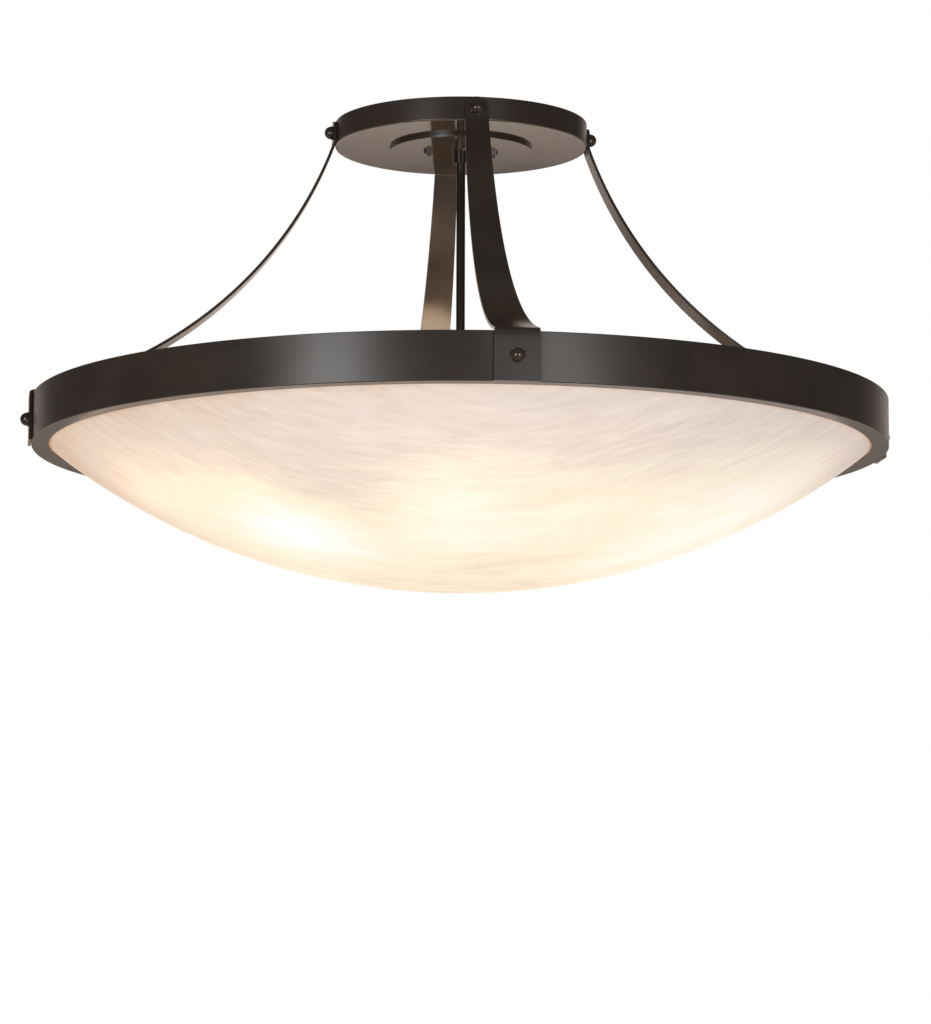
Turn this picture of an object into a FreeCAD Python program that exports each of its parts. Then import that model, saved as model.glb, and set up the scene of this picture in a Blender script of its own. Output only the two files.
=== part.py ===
import FreeCAD, Part
import math
import os
import Sketcher
from FreeCAD import Placement, Rotation, Vector

# Semi flush ceiling light: a shallow stone-look bowl resting in a rolled ring, hung on four
# tapering straps from a flat canopy, with a six-lamp cluster on a slim stem inside the bowl.
# Origin: the ceiling plane on the stem's axis. +Z is up, so everything hangs at negative z.
# The straps point along +X, +Y, -X and -Y. Millimetres and degrees.

DRIVING = {
    # overall
    "fixture_drop": 357.0,  # ceiling to the ring's bottom edge
    "ring_diameter": 914.4,
    "canopy_diameter": 272.0,
    "bowl_depth": 147.7,  # ring's bottom edge to the bowl's lowest point
    # ring: one rolled section, a band with an inward lip at the bottom
    "ring_height": 50.0,
    "ring_wall": 3.0,
    "lip_width": 18.7,
    "lip_wall": 2.5,
    "edge_round": 0.6,
    # bowl
    "bowl_wall": 4.5,
    "bowl_rise": 8.0,  # rim above the ring's bottom edge
    "bowl_gap": 0.4,  # bowl to the lip's inner edge
    # canopy, cover disc and mounting plate
    "canopy_depth": 25.4,
    "canopy_wall": 1.5,
    "canopy_round": 1.6,
    "disc_diameter": 153.0,
    "disc_depth": 4.0,
    "disc_wall": 1.2,
    "plate_diameter": 112.0,
    "plate_wall": 2.5,
    "plate_opening": 32.0,
    "box_circle": 88.9,
    "box_hole": 5.2,
    "stud_circle": 69.85,
    "stud_diameter": 4.8,
    "stud_reach": 3.0,  # stud showing below its nut
    "stud_nut_flats": 9.5,
    "stud_nut_height": 3.2,
    # straps
    "strap_wall": 3.2,
    "strap_head_width": 24.3,
    "strap_foot_width": 46.6,
    "strap_radius": 435.3,  # outer face of the sweep
    "strap_lean": 48.9,  # slope of the sweep's chord from vertical
    "strap_bend_rise": 4.2,  # upper bend above the canopy's underside
    "strap_foot_gap": 0.36,  # foot's lower corner above the ring's top edge
    "strap_foot_round": 4.0,
    # ball nuts, and the screws behind them
    "ball_diameter": 14.0,
    "ball_offset": 1.8,  # ball's centre off the strap's face
    "nut_flats": 13.5,
    "nut_height": 1.6,
    "screw_diameter": 4.8,
    "screw_head": 9.0,
    "screw_head_height": 3.0,
    "screw_engagement": 5.0,
    "washer_wall": 1.0,
    "hole_play": 0.4,  # hole over screw, on diameter
    # stem
    "stem_diameter": 9.5,
    "stem_wall": 1.3,
    "coupling_diameter": 16.0,
    "coupling_length": 12.0,
    "stem_washer_diameter": 18.5,
    "stem_washer_wall": 1.2,
    "nipple_rise": 10.0,  # nipple above the canopy's sheet
    "locknut_flats": 16.0,
    "locknut_height": 3.5,
    "thread_play": 0.1,  # bore over thread, on diameter
    # lamp cluster
    "lamp_drop": 25.0,  # lamps' axis below the ring's bottom edge
    "cluster_turn": -97.0,  # first arm, from +X
    "hub_diameter": 64.0,
    "hub_height": 34.0,
    "hub_wall": 2.0,
    "cover_rim": 7.0,
    "cover_screw_diameter": 3.0,
    "arm_reach": 104.0,  # stem's axis to the back of a lampholder
    "arm_inset": 6.0,  # arm inside the hub's wall
    "holder_length": 30.5,
    "holder_diameter": 36.0,
    "holder_neck": 22.0,
    "holder_neck_length": 9.0,
    "holder_back": 4.0,
    "shell_wall": 0.7,
    "shell_set_back": 1.0,  # screw shell behind the lampholder's mouth
    "contact_diameter": 8.0,
    "contact_wall": 1.5,
    "lamp_cap_diameter": 26.0,
    "lamp_cap_length": 25.0,
    "lamp_cap_play": 0.8,  # shell's bore over cap, on diameter
    "lamp_diameter": 60.0,
    "lamp_length": 108.0,
    "lamp_glass_wall": 1.0,
    "lamp_gap": 0.4,  # lamp's tip to the contact
    # wiring
    "lead_diameter": 2.2,
    "socket_lead_diameter": 1.6,
    "lead_clearance": 0.15,
    "lead_tail": 6.0,  # supply leads' ends below the lamps' axis
    "lead_straight": 8.0,  # straight stretch below the nipple's top
    "lead_rise": 4.5,  # bend above the nipple's top
    "lead_fan": 2.2,  # leads' spacing at the bend, over their spacing in the stem
    "lead_bend_back": -0.6,
    "lead_fall_side": 23.0,  # where the leads come down beside the nipple
    "lead_fall_back": -6.4,
    "lead_fall_rise": 1.5,
    "connector_side": 46.0,
    "connector_back": -16.0,
    "ground_lead_back": 2.0,
    "ground_connector_side": -26.0,
    "ground_connector_back": 50.0,
    "connector_length": 20.0,
    "connector_mouth": 11.0,
    "connector_tip": 7.0,
}

STRAP_NAMES = {"right": 0, "back": 90, "left": 180, "front": 270}
STRAP_COUNT = 4
LAMP_COUNT = 6
STUD_COUNT = 4
COVER_SCREW_COUNT = 3

# shares of the size named with them
SHOULDER = 0.325  # lamp's ball radius: where the neck's cone meets the ball
RIM_ROUND = 0.3  # bowl's wall: rounding of its rim
SHEET_ROUND = 0.6  # sheet's wall: rounding of its folded edge
HEAD_ROUND = 0.46  # strap's head width: rounding of its two corners
FOOT_CREASE = 0.7  # strap's wall: foot's outer corner above its lower corner
STRAP_BLANK = 1.2  # strap's foot width: width of the bar before the taper is cut
THREAD_END = 0.4  # stud's radius: chamfer at its end
HEAD_BEVEL = 1 / 3  # screw head's height: bevel round its top
HEAD_CROWN = 1.4  # cover screw's radius: flat on its head
COVER_SCREW_REACH = 1.5  # hub's wall: cover screw past the cover's rim
STEM_REACH = 1.5  # locknut's height: stem past the hub's sheet
CAP_CONE = 0.2  # lamp cap's length: its insulated cone
CAP_CONE_WIDTH = 0.85  # lamp cap's radius: cone's wide end
CAP_SHOULDER = 1.4  # cone's length: where the cap reaches its full radius
LEAD_BEND = 0.45  # shorter of two runs: length that the bend between them takes

CUT_SHARE = 0.9999999  # a cut leaves less than this share of the volume
PARALLEL = 0.99  # cosine above which an edge runs along a direction
NEAR = 0.01  # mm
VOLUME_SLACK = 0.01  # a tube's volume against its section times its length


class Size:
    """A number with the spreadsheet expression it comes from, so derived sizes stay bound."""

    def __init__(self, number, text):
        self.number = float(number)
        self.text = text

    def join(self, other, sign, number):
        return Size(number, "(%s %s %s)" % (self.text, sign, sized(other).text))

    def __add__(self, other):
        return self.join(other, "+", self.number + sized(other).number)

    def __radd__(self, other):
        return sized(other) + self

    def __sub__(self, other):
        return self.join(other, "-", self.number - sized(other).number)

    def __rsub__(self, other):
        return sized(other) - self

    def __mul__(self, other):
        return self.join(other, "*", self.number * sized(other).number)

    def __rmul__(self, other):
        return sized(other) * self

    def __truediv__(self, other):
        return self.join(other, "/", self.number / sized(other).number)

    def __neg__(self):
        return Size(-self.number, "(0 - %s)" % self.text)

    def root(self):
        return Size(math.sqrt(self.number), "sqrt(%s)" % self.text)

    def sine(self):
        return Size(math.sin(math.radians(self.number)), "sin(%s)" % self.text)

    def cosine(self):
        return Size(math.cos(math.radians(self.number)), "cos(%s)" % self.text)


def sized(value):
    return value if isinstance(value, Size) else Size(value, repr(value))


class Sizes:
    """The driving dimensions by name, each one a cell of the spreadsheet."""


doc = FreeCAD.newDocument("ceiling_light")
sheet = doc.addObject("Spreadsheet::Sheet", "sizes")
size = Sizes()
for row, (alias, number) in enumerate(DRIVING.items(), start=1):
    sheet.set("A%d" % row, alias)
    sheet.set("B%d" % row, str(number))
    sheet.setAlias("B%d" % row, alias)
    setattr(size, alias, Size(number, "sizes." + alias))
doc.recompute()

parts = []


# Helpers

def bind(item, path, value):
    """Set a length, angle or placement value and tie it to the spreadsheet."""
    item.setExpression(path, sized(value).text)


def keep(item, label):
    item.Label = label
    parts.append(item)
    return item


def new_body(label, z=0, turn=0):
    body = doc.addObject("PartDesign::Body", label + "_body")
    body.AllowCompound = True
    body.Placement = Placement(Vector(0, 0, sized(z).number), Rotation(Vector(0, 0, 1), turn))
    bind(body, "Placement.Base.z", z)
    return keep(body, label)


def origin_of(body, role):
    return next(item for item in body.Origin.OriginFeatures if item.Role == role)


def sketch_on(body, role, offset=None):
    sketch = body.newObject("Sketcher::SketchObject", body.Label + "_sketch")
    sketch.AttachmentSupport = [(origin_of(body, role), "")]
    sketch.MapMode = "FlatFace"
    if offset is not None:
        sketch.AttachmentOffset = Placement(Vector(0, 0, sized(offset).number), Rotation())
        bind(sketch, "AttachmentOffset.Base.z", offset)
    return sketch


def constrain(sketch, kind, target, value):
    index = sketch.addConstraint(Sketcher.Constraint(kind, *target, sized(value).number))
    bind(sketch, "Constraints[%d]" % index, value)


def place_point(sketch, geometry, end, x=None, y=None):
    """Hold a point at x and y from the sketch's origin; None leaves that direction free."""
    for kind, value, axis in (("DistanceX", x, -2), ("DistanceY", y, -1)):
        if value is None:
            continue
        if sized(value).text == "0":
            sketch.addConstraint(Sketcher.Constraint("PointOnObject", geometry, end, axis))
        else:
            constrain(sketch, kind, (-1, 1, geometry, end), value)


def outline(sketch, corners, arcs=None):
    """Draw a closed loop through corners (x, y, held).

    held names the directions that are set: "xy", or one of "x" and "y" where an arc or a
    line through the corner sets the other. arcs[i] = (centre x, centre y, radius, turn) makes
    the side that leaves corner i an arc, turning "left" or "right".
    """
    arcs = arcs or {}
    corners = [(sized(c[0]), sized(c[1]), c[2] if len(c) > 2 else "xy") for c in corners]
    sides = []
    for index, (x, y, held) in enumerate(corners):
        start = Vector(x.number, y.number, 0)
        following = corners[(index + 1) % len(corners)]
        end = Vector(following[0].number, following[1].number, 0)
        if index not in arcs:
            sides.append((sketch.addGeometry(Part.LineSegment(start, end)), 1, 2))
            continue
        centre_x, centre_y, radius, turn = (sized(v) if v not in ("left", "right") else v
                                            for v in arcs[index])
        centre = Vector(centre_x.number, centre_y.number, 0)
        first, last = (start, end) if turn == "left" else (end, start)
        circle = Part.Circle(centre, Vector(0, 0, 1), radius.number)
        arc = Part.ArcOfCircle(circle, math.atan2(first.y - centre.y, first.x - centre.x),
                               math.atan2(last.y - centre.y, last.x - centre.x))
        ends = (1, 2) if turn == "left" else (2, 1)
        sides.append((sketch.addGeometry(arc), *ends))
    for index, (geometry, start, end) in enumerate(sides):
        following = sides[(index + 1) % len(sides)]
        sketch.addConstraint(Sketcher.Constraint("Coincident", geometry, end,
                                                 following[0], following[1]))
    for index, (x, y, held) in enumerate(corners):
        geometry, start, end = sides[index]
        place_point(sketch, geometry, start, x if "x" in held else None,
                    y if "y" in held else None)
        if index in arcs:
            centre_x, centre_y, radius, turn = arcs[index]
            place_point(sketch, geometry, 3, centre_x, centre_y)
            constrain(sketch, "Radius", (geometry,), radius)


def circle_at(sketch, x, y, diameter):
    circle = Part.Circle(Vector(sized(x).number, sized(y).number, 0), Vector(0, 0, 1),
                         sized(diameter).number / 2)
    geometry = sketch.addGeometry(circle)
    place_point(sketch, geometry, 3, x, y)
    constrain(sketch, "Diameter", (geometry,), diameter)


def hexagon_at(sketch, x, y, flats):
    corner = flats / math.sqrt(3)
    turns = [math.radians(60 * step) for step in range(6)]
    outline(sketch, [(x + corner * round(math.cos(turn), 9), y + corner * round(math.sin(turn), 9))
                     for turn in turns])


def pad(body, sketch, length, side="One side", away=False):
    feature = body.newObject("PartDesign::Pad", body.Label + "_pad")
    feature.Profile = sketch
    bind(feature, "Length", length)
    feature.SideType = side
    feature.Reversed = away
    return feature


def cut_through(body, sketch):
    """Pocket a sketch both ways through the whole body, and check that it removed material."""
    doc.recompute()
    before = body.Shape.Volume
    feature = body.newObject("PartDesign::Pocket", body.Label + "_pocket")
    feature.Profile = sketch
    feature.SideType = "Symmetric"
    feature.Type = "ThroughAll"
    doc.recompute()
    if body.Shape.Volume > before * CUT_SHARE:
        raise ValueError("nothing was cut from " + body.Label)
    return feature


def repeat_round(body, features, count, angle=360):
    pattern = body.newObject("PartDesign::PolarPattern", body.Label + "_round")
    pattern.Originals = features
    pattern.Axis = (origin_of(body, "Z_Axis"), [""])
    pattern.Angle = angle
    pattern.Occurrences = count
    body.Tip = pattern
    return pattern


def round_edges(body, radius, chosen, along=None):
    """Fillet the edges whose points all pass the test, and that run along a direction."""
    doc.recompute()
    base = body.Tip
    names = ["Edge%d" % number for number, edge in enumerate(base.Shape.Edges, start=1)
             if all(chosen(vertex.Point) for vertex in edge.Vertexes)
             and (along is None or abs(edge.tangentAt(edge.FirstParameter).dot(along)) > PARALLEL)]
    if not names:
        raise ValueError("no edge to round on " + body.Label)
    feature = body.newObject("PartDesign::Fillet", body.Label + "_fillet")
    feature.Base = (base, names)
    bind(feature, "Radius", radius)
    return feature


def turned(label, z, corners, arcs=None, axis="V_Axis", turn=0, copies=1):
    """A piece spun about the vertical axis (V_Axis) or about its own X axis (H_Axis)."""
    body = new_body(label, z, turn)
    sketch = sketch_on(body, "XZ_Plane")
    outline(sketch, corners, arcs)
    spun = body.newObject("PartDesign::Revolution", label + "_turned")
    spun.Profile = sketch
    spun.ReferenceAxis = (sketch, [axis])
    spun.Angle = 360
    if copies > 1:
        repeat_round(body, [spun], copies)
    return body


def tube_corners(low, high, inner, outer):
    """Section of a tube: from low to high along the axis, between two radii."""
    return [(low, inner), (high, inner), (high, outer), (low, outer)]


def upright(corners):
    """The same section with the axis along Z."""
    return [(radius, along) for along, radius in corners]


def near(number, value):
    return abs(number - sized(value).number) < NEAR


# Derived sizes

ring_radius = size.ring_diameter / 2
lip_radius = ring_radius - size.lip_width
canopy_radius = size.canopy_diameter / 2
ring_level = -size.fixture_drop
canopy_level = -size.canopy_depth
disc_level = canopy_level - size.disc_depth
canopy_screw_level = canopy_level / 2
ring_screw_level = ring_level + size.ring_height / 2
screw_radius = size.screw_diameter / 2
screw_hole = size.screw_diameter + size.hole_play
stem_radius = size.stem_diameter / 2
stem_bore = stem_radius - size.stem_wall
stem_hole = stem_radius + size.hole_play / 2
thread_bore = stem_radius + size.thread_play / 2
stud_ring = size.stud_circle / 2
lamp_level = ring_level - size.lamp_drop
hub_radius = size.hub_diameter / 2
hub_top = lamp_level + size.hub_height / 2
cluster_turn = size.cluster_turn.number
ground_screw_radius = size.plate_diameter / 2 - size.screw_head


# Ring and bowl

def make_ring():
    inner = ring_radius - size.ring_wall
    ring = turned("ring_frame", ring_level, [
        (lip_radius, 0), (ring_radius, 0), (ring_radius, size.ring_height),
        (inner, size.ring_height), (inner, size.lip_wall), (lip_radius, size.lip_wall)])
    outer_edges = (0, size.ring_height)
    round_edges(ring, size.edge_round,
                lambda p: near(math.hypot(p.x, p.y), ring_radius)
                and any(near(p.z, z) for z in outer_edges))
    sketch = sketch_on(ring, "YZ_Plane")
    circle_at(sketch, 0, size.ring_height / 2, screw_hole)
    # one drilling goes through both walls, so two of them make the four holes
    repeat_round(ring, [cut_through(ring, sketch)], STRAP_COUNT // 2, 360 / STRAP_COUNT)


def make_bowl():
    """A dome whose outer face clears the lip's upper inner edge by the bowl's gap."""
    touch = lip_radius - size.bowl_gap
    height = size.bowl_depth + size.lip_wall
    radius = (touch * touch + height * height) / (2 * height)
    centre = radius - size.bowl_depth
    inner = radius - size.bowl_wall
    rise = centre - size.bowl_rise
    rim_outer = (radius * radius - rise * rise).root()
    rim_inner = (inner * inner - rise * rise).root()
    bowl = turned("bowl", ring_level, [
        (0, -size.bowl_depth, "x"), (rim_outer, size.bowl_rise, "y"),
        (rim_inner, size.bowl_rise, "y"), (0, size.bowl_wall - size.bowl_depth, "x")],
        arcs={0: (0, centre, radius, "left"), 2: (0, centre, inner, "right")})
    round_edges(bowl, size.bowl_wall * RIM_ROUND, lambda p: near(p.z, size.bowl_rise))


# Canopy group

def make_canopy():
    inner = canopy_radius - size.canopy_wall
    canopy = turned("canopy", canopy_level, [
        (stem_hole, 0), (canopy_radius, 0), (canopy_radius, size.canopy_depth),
        (inner, size.canopy_depth), (inner, size.canopy_wall), (stem_hole, size.canopy_wall)])
    round_edges(canopy, size.canopy_round,
                lambda p: near(math.hypot(p.x, p.y), canopy_radius) and near(p.z, 0))
    studs = sketch_on(canopy, "XY_Plane")
    circle_at(studs, stud_ring, 0, size.stud_diameter + size.hole_play)
    repeat_round(canopy, [cut_through(canopy, studs)], STUD_COUNT)
    screws = sketch_on(canopy, "YZ_Plane")
    circle_at(screws, 0, size.canopy_depth / 2, screw_hole)
    repeat_round(canopy, [cut_through(canopy, screws)], STRAP_COUNT // 2, 360 / STRAP_COUNT)


def make_cover_disc():
    radius = size.disc_diameter / 2
    inner = radius - size.disc_wall
    disc = turned("cover_disc", disc_level, [
        (stem_hole, 0), (radius, 0), (radius, size.disc_depth),
        (inner, size.disc_depth), (inner, size.disc_wall), (stem_hole, size.disc_wall)])
    round_edges(disc, size.disc_wall * SHEET_ROUND,
                lambda p: near(math.hypot(p.x, p.y), radius) and near(p.z, 0))
    studs = sketch_on(disc, "XY_Plane")
    circle_at(studs, stud_ring, 0, size.stud_diameter + size.hole_play)
    repeat_round(disc, [cut_through(disc, studs)], STUD_COUNT)


def make_mounting_plate():
    """The plate that screws to the ceiling box; its top face is the ceiling plane."""
    plate = new_body("mounting_plate", -size.plate_wall)
    sketch = sketch_on(plate, "XY_Plane")
    circle_at(sketch, 0, 0, size.plate_diameter)
    circle_at(sketch, 0, 0, size.plate_opening)
    pad(plate, sketch, size.plate_wall)
    holes = sketch_on(plate, "XY_Plane")
    diagonal = size.box_circle / 2 / math.sqrt(2)
    circle_at(holes, stud_ring, 0, size.stud_diameter)
    circle_at(holes, diagonal, diagonal, size.box_hole)
    repeat_round(plate, [cut_through(plate, holes)], STUD_COUNT)
    grounding = sketch_on(plate, "XY_Plane")
    circle_at(grounding, 0, ground_screw_radius, size.screw_diameter)
    cut_through(plate, grounding)


def make_studs():
    end = disc_level - size.stud_nut_height - size.stud_reach
    radius = size.stud_diameter / 2
    tip = radius * THREAD_END
    studs = new_body("plate_studs")
    sketch = sketch_on(studs, "XZ_Plane")
    outline(sketch, [(stud_ring, 0), (stud_ring, end), (stud_ring + radius - tip, end),
                     (stud_ring + radius, end + tip), (stud_ring + radius, 0)])
    axis = sketch.addGeometry(Part.LineSegment(
        Vector(stud_ring.number, size.stud_reach.number, 0),
        Vector(stud_ring.number, size.canopy_depth.number, 0)), True)
    place_point(sketch, axis, 1, stud_ring)
    place_point(sketch, axis, 2, stud_ring)
    spun = studs.newObject("PartDesign::Revolution", "stud_turned")
    spun.Profile = sketch
    spun.ReferenceAxis = (sketch, ["Axis0"])
    spun.Angle = 360
    repeat_round(studs, [spun], STUD_COUNT)


def hex_nuts(label, z, flats, bore, height, x=0, copies=1):
    body = new_body(label, z)
    sketch = sketch_on(body, "XY_Plane")
    hexagon_at(sketch, sized(x), sized(0), flats)
    circle_at(sketch, x, 0, bore)
    nut = pad(body, sketch, height)
    if copies > 1:
        repeat_round(body, [nut], copies)


def make_canopy_hardware():
    make_studs()
    hex_nuts("stud_nuts", disc_level - size.stud_nut_height, size.stud_nut_flats,
             size.stud_diameter + size.thread_play, size.stud_nut_height, stud_ring, STUD_COUNT)
    hex_nuts("stem_locknut", canopy_level + size.canopy_wall, size.locknut_flats,
             thread_bore * 2, size.locknut_height)


# Straps and their fastenings

def make_strap(name, turn):
    """A flat bar: a tab up the canopy's wall, a sweep of one radius, and a foot down the band."""
    strap = new_body("strap_" + name, ring_level, turn)
    head_in = canopy_radius
    head_out = canopy_radius + size.strap_wall
    foot_in = ring_radius
    foot_out = ring_radius + size.strap_wall
    head_top = size.fixture_drop + canopy_screw_level + size.strap_head_width / 2
    bend = size.fixture_drop + canopy_level + size.strap_bend_rise
    corner = size.ring_height + size.strap_foot_gap + size.strap_wall * FOOT_CREASE

    run = foot_out - head_out
    fall = bend - corner
    chord = (run * run + fall * fall).root()
    reach = (size.strap_radius * size.strap_radius - chord * chord / 4).root()
    centre_x = (head_out + foot_out) / 2 + fall / chord * reach
    centre_z = (bend + corner) / 2 + run / chord * reach
    lower_radius = size.strap_radius + size.strap_wall
    lower_bend = centre_z - (lower_radius * lower_radius
                             - (centre_x - head_in) * (centre_x - head_in)).root()
    if lower_bend.number < 0:
        raise ValueError("the strap's sweep misses the canopy")
    foot_corner = centre_z - (lower_radius * lower_radius
                              - (centre_x - foot_in) * (centre_x - foot_in)).root()

    side = sketch_on(strap, "XZ_Plane")
    outline(side, [
        (head_out, head_top), (head_out, bend, "x"), (foot_out, corner, "x"), (foot_out, 0),
        (foot_in, 0), (foot_in, foot_corner, "x"), (head_in, lower_bend, "x"),
        (head_in, head_top)],
        arcs={1: (centre_x, centre_z, size.strap_radius, "left"),
              5: (centre_x, centre_z, lower_radius, "right")})
    pad(strap, side, size.strap_foot_width * STRAP_BLANK, "Symmetric")
    round_edges(strap, size.strap_foot_round,
                lambda p: near(p.x, foot_out) and near(p.z, corner))

    # the taper is cut square to the sweep's chord, where the bar's edges run straight
    taper = strap.newObject("Sketcher::SketchObject", "taper_sketch")
    taper.AttachmentSupport = [(origin_of(strap, "YZ_Plane"), "")]
    taper.MapMode = "FlatFace"
    taper.AttachmentOffset = Placement(Vector(), Rotation(Vector(-1, 0, 0),
                                                          size.strap_lean.number))
    bind(taper, "AttachmentOffset.Rotation.Angle", size.strap_lean)
    sine = size.strap_lean.sine()
    cosine = size.strap_lean.cosine()
    top = head_top * cosine - head_in * sine
    bottom = -(foot_out * sine)
    wide = size.strap_foot_width
    for hand in (1, -1):
        outline(taper, [(size.strap_head_width / 2 * hand, top), (wide * hand, top),
                        (wide * hand, bottom), (size.strap_foot_width / 2 * hand, bottom)])
    cut_through(strap, taper)
    round_edges(strap, size.strap_head_width * HEAD_ROUND, lambda p: near(p.z, head_top),
                Vector(1, 0, 0))

    holes = sketch_on(strap, "YZ_Plane")
    circle_at(holes, 0, size.fixture_drop + canopy_screw_level, screw_hole)
    circle_at(holes, 0, size.ring_height / 2, screw_hole)
    cut_through(strap, holes)


def make_fastenings(place, level, wall_in, wall_out):
    """Screw from inside, lock washer under its head, and a ball nut on the strap's face."""
    face = wall_out + size.strap_wall
    head_radius = size.screw_head / 2
    # a flat washer touches the curved wall at its rim
    seat = (wall_in * wall_in - head_radius * head_radius).root()
    head_face = seat - size.washer_wall
    head_end = head_face - size.screw_head_height
    tip = face + size.screw_engagement
    bevel = size.screw_head_height * HEAD_BEVEL
    turned(place + "_screws", level, [
        (head_end, 0), (head_end, head_radius - bevel), (head_end + bevel, head_radius),
        (head_face, head_radius), (head_face, screw_radius), (tip, screw_radius), (tip, 0)],
        axis="H_Axis", copies=STRAP_COUNT)
    turned(place + "_lock_washers", level,
           tube_corners(head_face, seat, screw_radius + size.hole_play / 2, head_radius),
           axis="H_Axis", copies=STRAP_COUNT)

    bore = screw_radius + size.thread_play / 2
    ball_radius = size.ball_diameter / 2
    centre = face + size.ball_offset
    flat = (ball_radius * ball_radius - size.ball_offset * size.ball_offset).root()
    deep = tip + size.hole_play
    nuts = new_body(place + "_ball_nuts", level)
    ball = sketch_on(nuts, "XZ_Plane")
    outline(ball, [(face, bore), (face, flat, "x"), (centre + ball_radius, 0, "y"),
                   (deep, 0), (deep, bore)],
            arcs={1: (centre, 0, ball_radius, "right")})
    spun = nuts.newObject("PartDesign::Revolution", "ball_turned")
    spun.Profile = ball
    spun.ReferenceAxis = (ball, ["H_Axis"])
    spun.Angle = 360
    base = sketch_on(nuts, "YZ_Plane", face)
    hexagon_at(base, sized(0), sized(0), size.nut_flats)
    circle_at(base, 0, 0, bore * 2)
    hexagon = pad(nuts, base, size.nut_height)
    repeat_round(nuts, [spun, hexagon], STRAP_COUNT)


# Stem

coupling_top = disc_level - size.stem_washer_wall
joint_level = coupling_top - size.coupling_length / 2
stem_end = hub_top - size.hub_wall - size.locknut_height * STEM_REACH


def make_stem():
    turned("stem_washer", coupling_top, upright(tube_corners(
        0, size.stem_washer_wall, stem_hole, size.stem_washer_diameter / 2)))
    coupling_radius = size.coupling_diameter / 2
    turned("stem_coupling", coupling_top - size.coupling_length, upright(tube_corners(
        0, size.coupling_length, thread_bore, coupling_radius)))
    top = canopy_level + size.canopy_wall + size.nipple_rise
    turned("stem_nipple", joint_level, upright(tube_corners(
        0, top - joint_level, stem_bore, stem_radius)))
    turned("stem", stem_end, upright(tube_corners(
        0, joint_level - stem_end, stem_bore, stem_radius)))


# Lamp cluster

def make_hub():
    height = size.hub_height
    inner = hub_radius - size.hub_wall
    hub = turned("hub", hub_top - height, [
        (inner, 0), (hub_radius, 0), (hub_radius, height), (stem_hole, height),
        (stem_hole, height - size.hub_wall), (inner, height - size.hub_wall)],
        turn=cluster_turn)
    round_edges(hub, size.hub_wall * SHEET_ROUND,
                lambda p: near(math.hypot(p.x, p.y), hub_radius) and near(p.z, height))
    arms = sketch_on(hub, "YZ_Plane")
    circle_at(arms, 0, height / 2, stem_hole * 2)
    # one drilling goes through both sides, so half as many make all the arms' holes
    step = 360 / LAMP_COUNT
    repeat_round(hub, [cut_through(hub, arms)], LAMP_COUNT // 2, step * (LAMP_COUNT // 2 - 1))
    repeat_round(hub, [cover_screw_hole(hub, size.cover_rim / 2)], COVER_SCREW_COUNT)
    hex_nuts("hub_locknut", hub_top - size.hub_wall - size.locknut_height, size.locknut_flats,
             thread_bore * 2, size.locknut_height)


def cover_screw_hole(body, level):
    """A hole through one side wall, towards +Y, halfway between two arms."""
    sketch = sketch_on(body, "XZ_Plane")
    circle_at(sketch, 0, level, size.cover_screw_diameter + size.hole_play)
    doc.recompute()
    before = body.Shape.Volume
    feature = body.newObject("PartDesign::Pocket", "cover_screw_hole")
    feature.Profile = sketch
    feature.Type = "ThroughAll"
    doc.recompute()
    if body.Shape.Volume > before * CUT_SHARE:
        raise ValueError("no cover-screw hole in " + body.Label)
    return feature


def make_hub_cover():
    rim = hub_radius - size.hub_wall - size.hole_play / 2
    floor = hub_top - size.hub_height - size.hub_wall
    high = size.cover_rim + size.hub_wall
    cover = turned("hub_cover", floor, [
        (0, 0), (hub_radius, 0), (hub_radius, size.hub_wall), (rim, size.hub_wall),
        (rim, high), (rim - size.hub_wall, high), (rim - size.hub_wall, size.hub_wall),
        (0, size.hub_wall)], turn=cluster_turn)
    round_edges(cover, size.hub_wall * SHEET_ROUND,
                lambda p: near(math.hypot(p.x, p.y), hub_radius) and near(p.z, 0))
    screw_height = size.hub_wall + size.cover_rim / 2
    repeat_round(cover, [cover_screw_hole(cover, screw_height)], COVER_SCREW_COUNT)

    shank = size.cover_screw_diameter / 2
    head = hub_radius + shank
    inside = rim - size.hub_wall * COVER_SCREW_REACH
    turned("hub_cover_screws", floor + screw_height, [
        (inside, 0), (inside, shank), (hub_radius, shank), (hub_radius, shank * 2),
        (head, shank * HEAD_CROWN), (head, 0)],
        axis="H_Axis", turn=cluster_turn + 90, copies=COVER_SCREW_COUNT)


holder_end = size.arm_reach + size.holder_length
lamp_base = size.arm_reach + size.holder_back + size.contact_wall + size.lamp_gap
cap_radius = size.lamp_cap_diameter / 2
shell_inner = cap_radius + size.lamp_cap_play / 2
shell_outer = shell_inner + size.shell_wall


def make_arm(number, turn):
    start = hub_radius - size.hub_wall - size.arm_inset
    turned("arm_%d" % number, lamp_level,
           tube_corners(start, size.arm_reach + size.holder_back, stem_bore, stem_radius),
           axis="H_Axis", turn=turn)


def make_lampholder(number, turn):
    """A ceramic cup: a narrow neck on the arm, then the wide part round the screw shell."""
    start = size.arm_reach
    neck = size.holder_neck / 2
    outer = size.holder_diameter / 2
    step = start + size.holder_neck_length
    floor = start + size.holder_back
    turned("lampholder_%d" % number, lamp_level, [
        (start, thread_bore), (start, neck), (step, outer), (holder_end, outer),
        (holder_end, shell_outer), (step + size.holder_back, shell_outer),
        (floor, neck - size.holder_back), (floor, thread_bore)], axis="H_Axis", turn=turn)


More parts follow.
